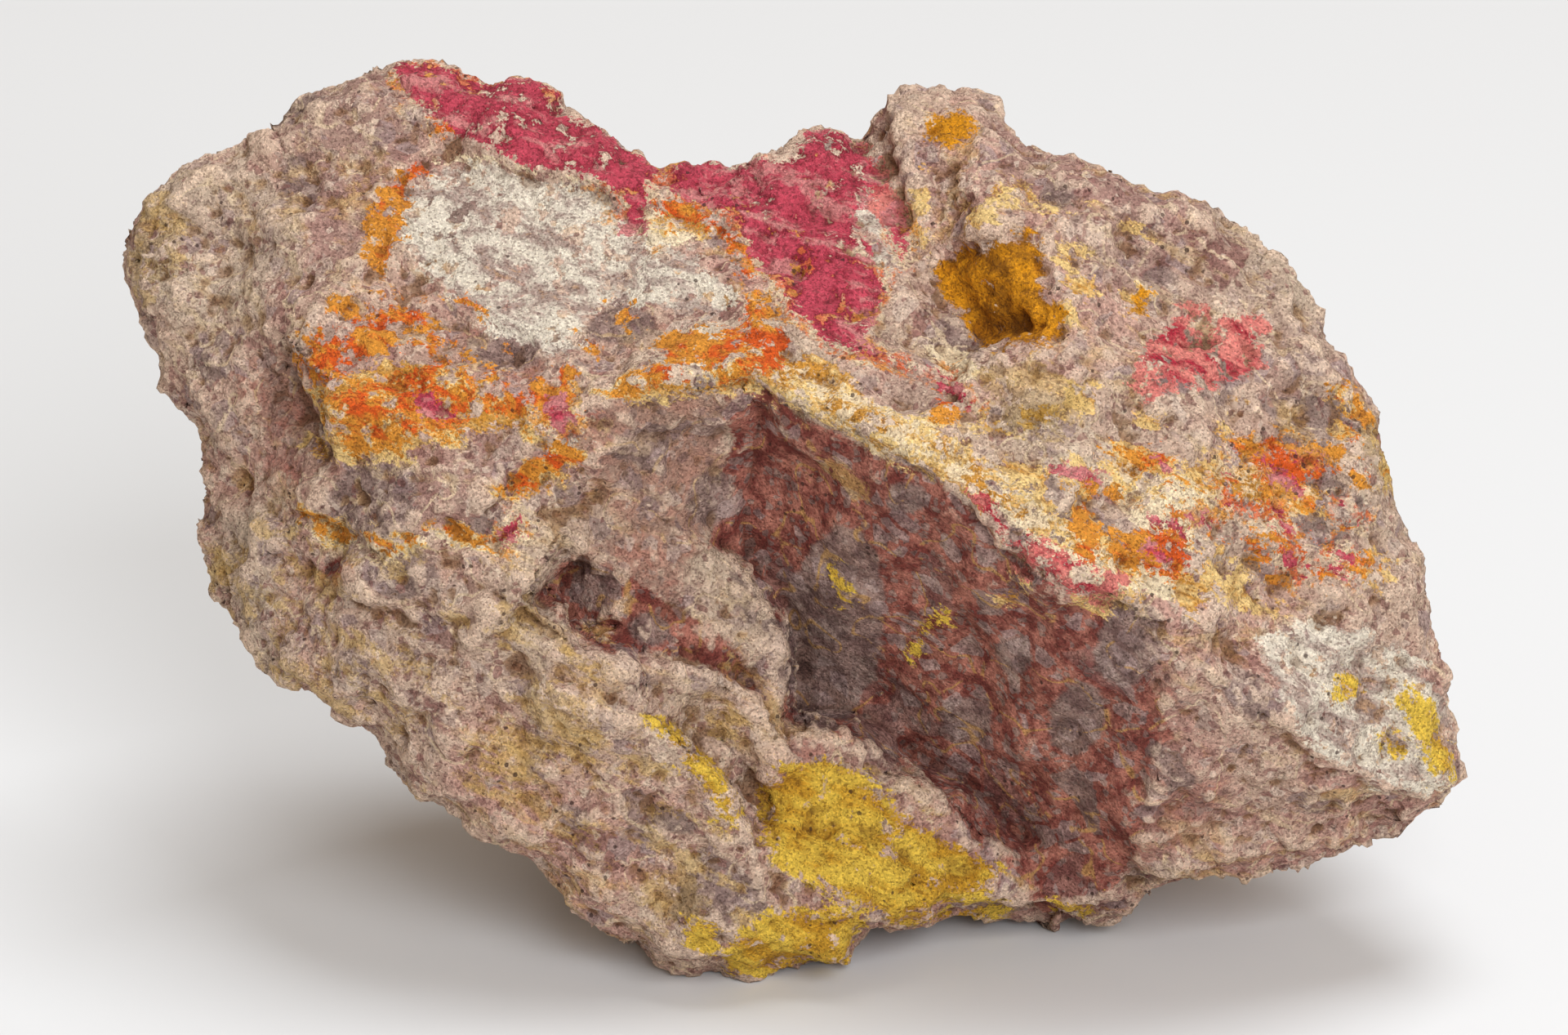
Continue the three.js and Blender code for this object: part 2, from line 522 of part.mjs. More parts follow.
// The stone with its feet cut flat on the table, and its origin under the middle of its box.
function stone() {
  const underTable = new THREE.BoxGeometry(floorBlock, floorBlock, floorBlock);
  underTable.translate(0, 0, -floorBlock / 2);
  const geometry = geometryFrom(solidFrom(stoneSkin()).subtract(solidFrom(underTable)));
  geometry.computeBoundingBox();
  const middle = geometry.boundingBox.getCenter(new THREE.Vector3());
  geometry.translate(-middle.x, -middle.y, 0);
  geometry.computeVertexNormals();
  return geometry;
}

const rock = new THREE.MeshStandardMaterial({ color: 0xa8877c, roughness: 0.9, metalness: 0 });
const block = new THREE.Mesh(stone(), rock);
block.name = "coated_stone";

const specimen = new THREE.Group();
specimen.add(block);
export default specimen;
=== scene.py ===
# %% [markdown]
# # Phoenicochroite on matrix
# A rough block of breccia, a rock made of broken and re-cemented pieces. One old slip face is coated
# with thin films of lead minerals: crimson, orange, yellow and white. The solid stone comes from the
# CAD file, in metres, and this lesson gives it its grain, its broken edges and its colours.

import math
import random

import bmesh
import bpy
import numpy as np
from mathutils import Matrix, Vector, noise


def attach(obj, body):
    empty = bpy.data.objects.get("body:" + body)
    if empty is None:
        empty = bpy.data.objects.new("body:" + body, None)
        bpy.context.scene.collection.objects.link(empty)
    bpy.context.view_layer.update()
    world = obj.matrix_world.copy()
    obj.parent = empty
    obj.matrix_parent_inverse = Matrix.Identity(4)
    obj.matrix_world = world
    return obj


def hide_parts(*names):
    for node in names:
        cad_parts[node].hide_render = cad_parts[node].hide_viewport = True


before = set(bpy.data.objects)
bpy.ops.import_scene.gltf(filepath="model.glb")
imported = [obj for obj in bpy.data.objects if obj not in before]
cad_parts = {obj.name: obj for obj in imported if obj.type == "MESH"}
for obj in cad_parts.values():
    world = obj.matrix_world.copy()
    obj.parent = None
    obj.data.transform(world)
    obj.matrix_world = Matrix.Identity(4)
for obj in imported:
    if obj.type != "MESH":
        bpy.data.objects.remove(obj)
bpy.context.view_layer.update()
mm = 0.001
# without a seed, noise_vector would take its shifts from the clock and each run would differ
noise.seed_set(1)

# %% [markdown]
# The stone was sketched as a picture of it is seen: x to the right and h up in a plane through its
# front foot, with the eye looking down at 22 degrees. The same few numbers place the camera and tell
# where each point of the stone lies in the sketch, so that a colour zone drawn there lands on the right
# part of the stone.

# %% The sketch plane and the eye
view_tilt = math.radians(22)
eye_distance = 0.8
sketch_centre = np.array([-0.4, 41.7]) * mm
stone_middle = np.array([-0.286, 17.4993]) * mm
sketch_unit = 0.075 * mm
sketch_origin = np.array([965, 1190])
to_eye = Vector((0, -math.cos(view_tilt), math.sin(view_tilt)))


def sketch_places(points):
    """Where points are seen in the sketch: x and h in metres, and how far each is towards the eye."""
    across = points[:, 0] + stone_middle[0]
    away = points[:, 1] + stone_middle[1]
    up = away * math.sin(view_tilt) + points[:, 2] * math.cos(view_tilt)
    near = points[:, 2] * math.sin(view_tilt) - away * math.cos(view_tilt)
    share = 1 - near / eye_distance
    return np.stack(
        [
            sketch_centre[0] + (across - sketch_centre[0]) / share,
            sketch_centre[1] + (up - sketch_centre[1]) / share,
            near,
        ],
        axis=1,
    )


def drawn(points):
    """Sketch points, in pixels, as millimetres to the right of the sketch's origin and above it."""
    return (np.array(points, float) - sketch_origin) * (1, -1) * sketch_unit / mm


def gap_to_stretch(points, start, end):
    """Distance from each point to one straight stretch of a line."""
    along = end - start
    share = np.clip(((points - start) @ along) / max(along @ along, 1e-9), 0, 1)
    return np.linalg.norm(points - start - share[:, None] * along, axis=1)


def outline_distance(points, outline):
    """Distance in millimetres from sketch points to a drawn outline, positive inside it."""
    corners = drawn(outline)
    nearest = np.full(len(points), np.inf)
    inside = np.zeros(len(points), bool)
    for start, end in zip(corners, np.roll(corners, -1, 0)):
        nearest = np.minimum(nearest, gap_to_stretch(points, start, end))
        if start[1] != end[1]:
            crosses = (start[1] > points[:, 1]) != (end[1] > points[:, 1])
            slope = (end[0] - start[0]) / (end[1] - start[1])
            at = start[0] + (points[:, 1] - start[1]) * slope
            inside ^= crosses & (points[:, 0] < at)
    return np.where(inside, nearest, -nearest)


# %% [markdown]
# A fresh mesh is made from the solid: its doubled corners are merged, and then its edges are cut again
# and again, finer on the face that is looked at than behind. Between the cuts the surface is moved a
# little by noise, first in lumps and then in grains. A sculptor works the same way: large forms first,
# texture last.

# %% Copy and merge the solid
stone_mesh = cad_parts["coated_stone"].data.copy()
stone_mesh.name = "stone"
stone_mesh.materials.clear()
shape = bmesh.new()
shape.from_mesh(stone_mesh)
same_corner = 0.002 * mm
bmesh.ops.remove_doubles(shape, verts=shape.verts[:], dist=same_corner)
bmesh.ops.triangulate(shape, faces=shape.faces[:])
print("merged stone:", len(shape.verts), "corners,", len(shape.faces), "triangles")

# %% Cut long edges
table_height = 0.02 * mm
just_off_table = table_height * 1.01
front_starts = -0.12


def way_round(face):
    """True or False for the two ways round in which a triangle can name its corners."""
    order = [vert.index for vert in face.verts]
    low = order.index(min(order))
    return order[low - 2] < order[low - 1]


def drop_stacked_faces():
    """Deletes pairs of faces back to back on the same corners, which cutting can leave at a sliver."""
    shape.verts.index_update()
    stacks = {}
    for face in shape.faces:
        stacks.setdefault(frozenset(face.verts), []).append(face)
    stacked = []
    for faces in stacks.values():
        if len(faces) > 1:
            one_way = [face for face in faces if way_round(face)]
            other_way = [face for face in faces if not way_round(face)]
            for pair in zip(one_way, other_way):
                stacked += pair
    bmesh.ops.delete(shape, geom=stacked, context="FACES")
    return len(stacked)


def cut_long_edges(front_longest, back_longest):
    """Cuts every edge that is longer than the limit for its side in two, until none is left."""
    for _ in range(6):
        shape.normal_update()
        long_edges = []
        for edge in shape.edges:
            facing = (edge.verts[0].normal + edge.verts[1].normal).dot(to_eye) / 2
            if edge.calc_length() > (front_longest if facing > front_starts else back_longest):
                long_edges.append(edge)
        if not long_edges:
            break
        bmesh.ops.subdivide_edges(shape, edges=long_edges, cuts=1, use_only_quads=False)
        bmesh.ops.triangulate(shape, faces=[f for f in shape.faces if len(f.verts) > 3])
        dropped = drop_stacked_faces()
        if dropped:
            print("stacked faces dropped:", dropped)
    print("after cutting:", len(shape.verts), "corners,", len(shape.faces), "triangles")


def standing(vert):
    """True for a corner of the flat feet, which stay on the table."""
    return vert.co.z < table_height


# %% Move corners by noise
def noise_shift(seed):
    """A place in the noise for each seed, so that no two noises are alike."""
    return Vector((seed * 17.3, seed * 5.1, seed * 9.7))


def move_by_noise(wave, height, seed, ridged=0.0, sideways=0.0, loose=None):
    """Moves corners along their normals by noise of one wavelength, and sideways so that edges break."""
    shape.normal_update()
    shift = noise_shift(seed)
    for index, vert in enumerate(shape.verts):
        if standing(vert):
            continue
        place = vert.co / wave + shift
        value = noise.noise(place)
        if ridged:
            value = (1 - ridged) * value + ridged * (0.5 - 2 * abs(noise.noise(place + shift)))
        side = noise.noise_vector(place) * sideways
        vert.co += (vert.normal * (value * height) + side) * (1 if loose is None else loose[index])
        vert.co.z = max(vert.co.z, just_off_table)


step_steepness = 4


def move_in_steps(wave, height, seed, steps, loose):
    """Moves corners by noise cut into steps, which leaves small flakes with sharp edges."""
    shape.normal_update()
    shift = noise_shift(seed)
    for index, vert in enumerate(shape.verts):
        if standing(vert):
            continue
        value = noise.noise(vert.co / wave + shift) * steps
        whole = math.floor(value)
        rise = min(1.0, max(0.0, (value - whole - 0.5) * step_steepness + 0.5))
        vert.co += vert.normal * ((whole + rise) / steps * height * loose[index])
        vert.co.z = max(vert.co.z, just_off_table)


# %% [markdown]
# Two faces in front broke smoothly, along the old slip face and in the hollow, so noise moves them
# less. The back isn't in the picture. It is taken as an ordinary break, with a few large flat faces
# that meet in blunt edges, as a hammer leaves them. Noise and ledges can throw single corners out, and
# those are put back last.

# %% Calm faces, a broken back and stray corners
back_looseness = 0.45
calm_edge = 2
above_feet = 1.5 * mm
fully_turned = 0.6
turn_margin = 0.15
surely_behind = 0.6


def smooth_faces(outlines, calm):
    """The share of a noise's height for each corner: 1 in front, less behind and on the drawn faces."""
    flat = sketch_places(np.array([v.co for v in shape.verts]))[:, :2] / mm
    shape.normal_update()
    front = np.array([v.normal.dot(to_eye) for v in shape.verts]) > 0
    loose = np.where(front, 1.0, back_looseness)
    for outline in outlines:
        share = np.clip(outline_distance(flat, outline) / calm_edge, 0, 1) * front
        loose = np.minimum(loose, 1 - (1 - calm) * share)
    return loose


def flatten_back(faces):
    """Cuts flat faces across the back, each given by the way it looks and its depth in millimetres."""
    shape.normal_update()
    places = np.array([v.co for v in shape.verts])
    normals = np.array([v.normal for v in shape.verts])
    turned_away = -(normals @ np.array(to_eye))
    hidden = np.clip(turned_away / fully_turned - turn_margin, 0, 1) * (places[:, 2] > above_feet)
    back = hidden > surely_behind
    for way, depth in faces:
        way = np.array(way) / np.linalg.norm(way)
        height = places @ way
        cut = np.clip(height - height[back].max() + depth * mm, 0, None)
        places -= way * (cut * hidden)[:, None]
    for vert, new_place in zip(shape.verts, places):
        if not standing(vert):
            vert.co = new_place


def calm_spikes(longest):
    """Moves each corner that sticks out by more than a length back between its neighbours."""
    moved = 0
    for vert in shape.verts:
        around = [edge.other_vert(vert).co for edge in vert.link_edges]
        middle = sum(around, Vector()) / len(around)
        if not standing(vert) and (vert.co - middle).length > longest:
            vert.co = middle
            moved += 1
    print("spikes calmed:", moved)


# %% [markdown]
# The sharpest edges of the real stone are drawn as lines in the sketch. Along each, the side on the
# left of the line's direction is lifted and the other is lowered, and both fade with the distance. That
# makes a small cliff, such as the lip of a flake, the rim of a pocket or the side of a crack.

# %% A ledge along a drawn line
ledge_face = 0.4
ledge_fades_by = 2.5
ledge_facing = 0.1
ledge_raggedness = 0.5
ledge_wave = 1.7 * mm


def ledge(points, height, reach):
    """Lifts the corners left of a line and lowers those right of it, with sizes in millimetres."""
    shape.normal_update()
    verts = [v for v in shape.verts if v.normal.dot(to_eye) > ledge_facing and not standing(v)]
    flat = sketch_places(np.array([v.co for v in verts]))[:, :2] / mm
    line = drawn(points)
    nearest = np.full(len(verts), np.inf)
    across = np.zeros(len(verts))
    for start, end in zip(line, line[1:]):
        gap = gap_to_stretch(flat, start, end)
        right, up = end - start
        side = right * (flat[:, 1] - start[1]) - up * (flat[:, 0] - start[0])
        closer = gap < nearest
        nearest = np.where(closer, gap, nearest)
        across = np.where(closer, np.sign(side) * gap, across)
    for index in np.nonzero(nearest < ledge_fades_by * reach)[0]:
        vert = verts[index]
        ragged = across[index] + ledge_raggedness * noise.noise(vert.co / ledge_wave)
        lift = math.tanh(ragged / ledge_face) * math.exp(-((nearest[index] / reach) ** 2)) * height / 2
        vert.co += vert.normal * (lift * mm)


# %% The drawn ledges
ledges = [
    # the lip of the slip face over the broken hollow
    ([(612, 600), (650, 548), (700, 520), (750, 488), (800, 472), (870, 470), (922, 462),
      (975, 498), (1062, 531), (1125, 569), (1181, 612), (1219, 662), (1262, 688), (1356, 725),
      (1400, 750)], 1.3, 2.2),
    # the lump over the small pocket, and the pocket's own lip
    ([(440, 735), (465, 743), (517, 760), (556, 756), (600, 752), (625, 747)], 1.3, 1.8),
    ([(600, 775), (631, 748), (660, 722), (700, 688)], 1.5, 1.8),
    # the long crest under the hollow, and the yellow ridge below it
    ([(955, 900), (925, 850), (880, 822), (806, 812), (750, 803), (690, 795), (650, 770),
      (625, 751)], 1.4, 2.5),
    ([(935, 1060), (905, 985), (892, 962), (840, 906), (800, 885), (762, 872), (694, 842),
      (640, 835)], 1.5, 3.0),
    # the wedge in the hollow, and the shelf between the hollow and the basin
    ([(962, 880), (965, 830), (958, 760), (944, 720), (915, 690), (895, 680)], 1.4, 2.0),
    ([(1185, 1015), (1150, 970), (1090, 930), (1040, 892), (1000, 890), (950, 905)], 1.1, 2.0),
    # the crusted edge on the left, the crimson's lower edge, the shoulder's rim, the side pocket's lip
    ([(375, 627), (418, 640), (461, 670), (500, 648), (525, 627), (547, 627), (569, 648),
      (616, 657), (633, 635)], 1.0, 1.5),
    ([(520, 150), (548, 170), (590, 190), (650, 212), (700, 220), (740, 232), (768, 262),
      (790, 285)], 0.8, 1.5),
    ([(365, 430), (400, 400), (440, 350), (458, 300), (470, 240), (500, 205), (545, 178)], 0.9, 1.8),
    ([(372, 400), (360, 430), (372, 470), (400, 520), (408, 556)], 1.4, 2.0),
    # the peak's left side and the rim of the ochre hollow
    ([(1085, 130), (1100, 200), (1115, 260), (1135, 310), (1150, 350)], 1.1, 2.0),
    ([(1150, 330), (1170, 300), (1215, 290), (1262, 280), (1285, 330), (1305, 385),
      (1300, 420)], 1.0, 1.6),
    ([(1300, 425), (1260, 435), (1215, 435), (1190, 415)], 0.8, 1.2),
    # cracks beside it
    ([(1080, 432), (1100, 440), (1146, 462), (1186, 495)], 0.8, 1.0),
    ([(1195, 495), (1198, 450), (1190, 400)], 0.8, 1.0),
    # the lower edge of the right face, its under-band, and the left flank
    ([(1560, 880), (1620, 935), (1690, 965), (1745, 975), (1792, 955)], 1.1, 2.5),
    ([(1440, 1075), (1520, 1050), (1640, 1035), (1740, 990)], 0.9, 1.8),
    ([(256, 600), (272, 660), (285, 730), (300, 800), (344, 850)], 1.1, 2.5),
]
print("ledges:", len(ledges))

# %% [markdown]
# The two calm faces in front are drawn as outlines. The flat faces of the back are each given by the way
# they look, with x to the right and y away from the eye, and by how deep they are cut, in millimetres.

# %% The drawn smooth faces and the flat faces of the back
broken_hollow = [
    (880, 484), (904, 486), (936, 464), (976, 510), (1030, 530), (1082, 560), (1142, 580),
    (1190, 620), (1242, 680), (1300, 730), (1372, 744), (1420, 790), (1410, 842), (1436, 900),
    (1400, 960), (1396, 1030), (1370, 1080), (1290, 1128), (1240, 1080), (1200, 1040), (1150, 968),
    (1082, 930), (1000, 890), (960, 880), (962, 830), (944, 740), (900, 680), (866, 670), (880, 600),
    (896, 540),
]
slip_face = [
    (486, 236), (532, 208), (600, 200), (702, 224), (770, 250), (802, 300), (850, 312), (902, 366),
    (960, 440), (880, 450), (740, 420), (690, 440), (600, 398), (530, 332),
]
back_faces = [
    ((0.7, 0.6, 0.4), 3.6),
    ((-0.65, 0.65, 0.4), 3.8),
    ((0.6, 0.7, -0.45), 3.4),
    ((-0.6, 0.7, -0.35), 3.6),
    ((0.1, 0.75, 0.66), 3.0),
    ((-0.1, 0.8, -0.6), 3.2),
    ((0.35, 0.9, 0.1), 1.6),
    ((-0.35, 0.9, 0.05), 1.8),
    ((0.9, 0.3, -0.3), 2.0),
    ((-0.85, 0.3, 0.5), 2.2),
]
print("flat faces on the back:", len(back_faces))

# %% [markdown]
# Now the steps follow one another. Lumps come first, then a finer cut, the flat faces of the back,
# flakes of two sizes, the drawn ledges, and last the grains.

# %% Lumps, broken edges and grains
cut_long_edges(1.7 * mm, 2.8 * mm)
bmesh.ops.smooth_vert(
    shape,
    verts=[v for v in shape.verts if not standing(v)],
    factor=0.25,
    use_axis_x=True,
    use_axis_y=True,
    use_axis_z=True,
)
move_by_noise(wave=6.5 * mm, height=0.6 * mm, seed=1, sideways=0.2 * mm)
cut_long_edges(0.68 * mm, 1.5 * mm)
loose = smooth_faces([broken_hollow, slip_face], 0.3)
flatten_back(back_faces)
move_in_steps(wave=7.5 * mm, height=1.5 * mm, seed=5, steps=5, loose=loose)
move_in_steps(wave=3.2 * mm, height=0.9 * mm, seed=6, steps=4, loose=loose)
for points, height, reach in ledges:
    ledge(points, height, reach)
move_by_noise(wave=1.8 * mm, height=0.48 * mm, seed=3, ridged=0.5, sideways=0.15 * mm, loose=loose)
move_by_noise(wave=1.0 * mm, height=0.4 * mm, seed=4, ridged=0.3, sideways=0.12 * mm, loose=loose)
for longest in (0.55, 0.5):
    calm_spikes(longest * mm)
for vert in shape.verts:
    vert.co.z = max(vert.co.z, 0.0)
print("shaped stone:", len(shape.verts), "corners")

# %% Make it an object
shape.to_mesh(stone_mesh)
shape.free()
stone = bpy.data.objects.new("stone_surface", stone_mesh)
bpy.context.scene.collection.objects.link(stone)
stone_mesh.shade_smooth()
print("stone surface:", len(stone_mesh.polygons), "triangles")

# %% [markdown]
# The mineral films are drawn as zones in the sketch, each an outline of a few points. Every corner of
# the stone gets the distance to the edge of each zone, positive inside. The material compares that
# distance with noise, so a film ends in a ragged line and not along the drawn one. On the sides and
# back, out of the sketch's sight, the zones fade out within a few millimetres.

# %% Corner places, normals and how far each faces the eye
corner_count = len(stone_mesh.vertices)
corner_places = np.empty(corner_count * 3, np.float32)
stone_mesh.vertices.foreach_get("co", corner_places)
corner_places = corner_places.reshape(-1, 3).astype(float)
corner_normals = np.empty(corner_count * 3, np.float32)
stone_mesh.vertices.foreach_get("normal", corner_normals)
corner_normals = corner_normals.reshape(-1, 3).astype(float)
edge_ends = np.empty(len(stone_mesh.edges) * 2, np.int32)
stone_mesh.edges.foreach_get("vertices", edge_ends)
edge_ends = edge_ends.reshape(-1, 2)

edges_at_corner = np.bincount(edge_ends.ravel(), minlength=corner_count)


def with_neighbours(values, rounds):
    """The mean of each corner's value and those of its neighbours, taken again for each round."""
    for _ in range(rounds):
        columns = []
        for column in values.T:
            total = np.bincount(edge_ends[:, 0], column[edge_ends[:, 1]], corner_count)
            total += np.bincount(edge_ends[:, 1], column[edge_ends[:, 0]], corner_count)
            columns.append((total + column) / (edges_at_corner + 1))
        values = np.stack(columns, axis=1)
    return values


def keep_values(name, values):
    """Stores one value for each corner on the mesh, for the material to read."""
    stone_mesh.attributes.new(name, "FLOAT", "POINT").data.foreach_set("value", values.astype(np.float32))


near_rounds = 3
hollow_rounds = 8
wide_rounds = 14
near_normals = with_neighbours(corner_normals, near_rounds)
level_places = with_neighbours(corner_places, hollow_rounds)
hollow_depth = ((level_places - corner_places) * near_normals).sum(1) / mm
corner_normals = with_neighbours(corner_normals, wide_rounds)
corner_normals /= np.linalg.norm(corner_normals, axis=1)[:, None]
facing_eye = corner_normals @ np.array(to_eye)
keep_values("hollow", hollow_depth)
print("hollow depth, mean of its size in mm:", round(float(np.abs(hollow_depth).mean()), 3))
sketch = sketch_places(corner_places)
sight_starts = -0.15
sight_rise = 0.4
seen = np.clip((facing_eye - sight_starts) / sight_rise, 0, 1)
print("corners that face the eye:", int((facing_eye > 0).sum()), "of", corner_count)

# %% Distance to the edge of a drawn zone
zone_reach = 6.0


def zone_distance(outlines):
    """Distance in millimetres from each corner to the nearest zone edge, positive inside."""
    flat = sketch[:, :2] / mm
    best = np.full(corner_count, -zone_reach)
    for outline in outlines:
        corners = drawn(outline)
        low, high = corners.min(0) - zone_reach, corners.max(0) + zone_reach
        near = np.nonzero(((flat > low) & (flat < high)).all(1) & (seen > 0))[0]
        best[near] = np.maximum(best[near], outline_distance(flat[near], outline))
    return np.clip(best, -zone_reach, zone_reach) * seen - zone_reach * 0.5 * (1 - seen)


band_overlap = 0.6


def band(points, half_width):
    """Narrow zones along a line of points, one for each stretch."""
    outlines = []
    for (x0, y0), (x1, y1) in zip(points, points[1:]):
        length = math.hypot(x1 - x0, y1 - y0)
        wide_x = -(y1 - y0) / length * half_width
        wide_y = (x1 - x0) / length * half_width
        past_x = wide_y * band_overlap
        past_y = -wide_x * band_overlap
        outline = [
            (x0 - past_x + wide_x, y0 - past_y + wide_y),
            (x1 + past_x + wide_x, y1 + past_y + wide_y),
            (x1 + past_x - wide_x, y1 + past_y - wide_y),
            (x0 - past_x - wide_x, y0 - past_y - wide_y),
        ]
        outlines.append(outline)
    return outlines


stroke_turn = 22
stroke_reach = (8, 34)
stroke_spread = (0.6, 1.5)


def strokes(count, left, right, top, bottom, slope, half_width, seed):
    """Short narrow zones scattered in a box, all nearly at one slope in degrees."""
    chance = random.Random(seed)
    outlines = []
    for _ in range(count):
        x, y = chance.uniform(left, right), chance.uniform(top, bottom)
        angle = math.radians(slope + chance.uniform(-stroke_turn, stroke_turn))
        reach = chance.uniform(*stroke_reach)
        end = (x + reach * math.cos(angle), y + reach * math.sin(angle))
        outlines += band([(x, y), end], half_width * chance.uniform(*stroke_spread))
    return outlines


def keep_zone(name, outlines):
    """Stores a zone's distances on the mesh under its name."""
    values = zone_distance(outlines)
    keep_values(name, values)
    print("zone", name, "covers", int((values > 0).sum()), "corners")


# %% Crimson: phoenicochroite along the top of the slip face
crimson_left = [
    (485, 66), (560, 86), (640, 94), (684, 104), (690, 136), (722, 148), (765, 170), (808, 205),
    (802, 225), (792, 250), (786, 284), (768, 280), (764, 240), (738, 226), (700, 214), (650, 210),
    (618, 196), (590, 180), (560, 172), (548, 150), (522, 135), (500, 112), (486, 90),
]
crimson_middle = [
    (812, 205), (840, 192), (925, 206), (932, 194), (962, 194), (985, 164), (1015, 156), (1045, 168),
    (1062, 195), (1076, 222), (1060, 240), (1040, 262), (1056, 285), (1076, 300), (1058, 322),
    (1084, 345), (1080, 365), (1062, 400), (1046, 428), (1008, 420), (990, 395), (966, 380),
    (960, 350), (938, 330), (920, 318), (912, 288), (890, 265), (858, 248), (830, 238), (815, 225),
]
crimson_patch = [
    (1398, 436), (1420, 402), (1452, 380), (1490, 378), (1530, 386), (1550, 402), (1536, 425),
    (1545, 450), (1510, 468), (1472, 474), (1436, 470), (1405, 492), (1394, 462),
]
crimson_ridge = [(1238, 660), (1290, 688), (1340, 698), (1366, 714), (1352, 734), (1300, 722),
                 (1248, 690)]
crimson_flecks = [
    [(1146, 462), (1168, 470), (1186, 490), (1172, 496), (1150, 478)],
    [(668, 492), (690, 488), (700, 508), (692, 528), (676, 520)],
    [(504, 480), (532, 484), (560, 512), (540, 516), (512, 500)],
    [(616, 640), (636, 630), (634, 652), (612, 664)],
    [(1092, 254), (1108, 284), (1106, 322), (1094, 300), (1086, 270)],
]
crimson_cracks = [
    *band([(1046, 428), (1090, 440), (1130, 452), (1160, 464), (1188, 494)], 3.0),
    *band([(1290, 576), (1320, 580), (1345, 584)], 3.0),
    *strokes(26, 1400, 1650, 560, 690, 32, 3.0, seed=3),
]
keep_zone("crimson", [crimson_left, crimson_middle, *crimson_flecks, *crimson_cracks])
blush_edges = [
    *band([(1192, 600), (1240, 656), (1300, 690), (1362, 718)], 12.0),
    *band([(980, 200), (1040, 176), (1070, 220), (1086, 262)], 14.0),
]
keep_zone("blush", [crimson_patch, crimson_ridge, *blush_edges])

# %% Orange and yellow: its weathered edge
orange_zones = [
    [(520, 190), (532, 208), (502, 230), (490, 262), (480, 300), (470, 334), (452, 310),
     (454, 270), (468, 235), (496, 204)],
    [(526, 146), (560, 150), (580, 176), (550, 170), (530, 164)],
    [(358, 425), (384, 404), (404, 384), (432, 368), (470, 358), (510, 368), (532, 392),
     (540, 420), (528, 440), (505, 420), (470, 430), (440, 450), (410, 470), (376, 466)],
    [(398, 486), (440, 470), (500, 450), (548, 440), (590, 474), (640, 482), (680, 444),
     (706, 455), (702, 492), (662, 520), (600, 506), (560, 525), (520, 530), (480, 545),
     (440, 552), (410, 530)],
    [(610, 600), (640, 572), (670, 548), (700, 540), (712, 566), (684, 592), (640, 606)],
    [(742, 486), (782, 468), (802, 440), (830, 410), (870, 396), (902, 400), (918, 350),
     (938, 372), (962, 402), (986, 416), (980, 440), (950, 462), (930, 458), (880, 476),
     (820, 470), (770, 486)],
    [(800, 234), (850, 248), (886, 272), (918, 300), (924, 344), (900, 340), (886, 300),
     (852, 280), (820, 276), (796, 262)],
    [(1142, 480), (1184, 474), (1178, 500), (1150, 510)],
    [(1316, 636), (1338, 628), (1344, 680), (1330, 706), (1316, 680)],
    [(1390, 650), (1440, 640), (1470, 690), (1440, 714), (1400, 700)],
    [(1380, 560), (1420, 540), (1440, 560), (1400, 582)],
    [(1500, 540), (1560, 530), (1590, 556), (1640, 580), (1590, 600), (1530, 570)],
    [(1626, 480), (1652, 472), (1650, 498), (1630, 500)],
]
orange_zones += strokes(40, 1310, 1660, 545, 700, 32, 5.0, seed=5)
orange_zones += strokes(10, 1560, 1700, 470, 600, 50, 4.0, seed=6)
orange_zones += strokes(16, 380, 760, 360, 540, 25, 5.0, seed=7)
orange_zones += band([(372, 632), (402, 650), (440, 656), (480, 670), (530, 642), (562, 652),
                      (604, 662)], 4.0)
keep_zone("orange", orange_zones)
yellow_zones = [
    [(372, 548), (404, 528), (440, 548), (430, 560), (380, 562)],
    [(380, 480), (420, 460), (470, 440), (520, 440), (560, 452), (592, 480), (660, 500),
     (700, 460), (712, 500), (664, 532), (560, 534), (470, 560), (410, 548)],
    [(606, 604), (640, 566), (676, 546), (716, 556), (690, 594), (640, 612)],
    [(742, 488), (800, 462), (880, 462), (920, 420), (960, 412), (1000, 432), (1040, 452),
     (1064, 480), (1090, 520), (1150, 548), (1192, 588), (1180, 596), (1130, 575), (1080, 550),
     (1030, 520), (985, 500), (950, 462), (930, 462), (880, 482), (770, 494)],
    [(796, 236), (850, 250), (886, 276), (910, 306), (880, 300), (840, 286), (800, 276)],
    [(1122, 196), (1134, 190), (1134, 240), (1130, 300), (1122, 290), (1126, 240)],
    [(1300, 340), (1340, 340), (1346, 360), (1310, 366)],
    [(1372, 362), (1400, 360), (1400, 386), (1378, 390)],
    [(1230, 560), (1290, 580), (1270, 620), (1220, 600)],
    [(1240, 500), (1290, 490), (1300, 520), (1250, 530)],
    [(1350, 570), (1400, 540), (1440, 560), (1420, 610), (1370, 600)],
    [(1430, 700), (1480, 690), (1490, 730), (1460, 760), (1440, 740)],
    [(1450, 570), (1520, 560), (1580, 580), (1640, 600), (1580, 640), (1500, 620), (1450, 600)],
    [(1680, 540), (1700, 560), (1712, 610), (1696, 590)],
]
yellow_zones += band([(744, 494), (800, 472), (880, 474), (936, 462)], 9.0)
yellow_zones += band([(950, 450), (1000, 480), (1080, 530), (1140, 552), (1192, 584), (1210, 608)], 26.0)
yellow_zones += band([(1210, 600), (1270, 640), (1330, 668), (1400, 700)], 14.0)
yellow_zones += strokes(34, 1200, 1700, 480, 740, 32, 8.0, seed=8)
yellow_zones += strokes(14, 1180, 1400, 180, 400, 40, 7.0, seed=9)
yellow_zones += band([(372, 632), (402, 650), (440, 656), (480, 670), (530, 642), (562, 652),
                      (604, 662), (634, 640)], 7.0)
keep_zone("yellow", yellow_zones)

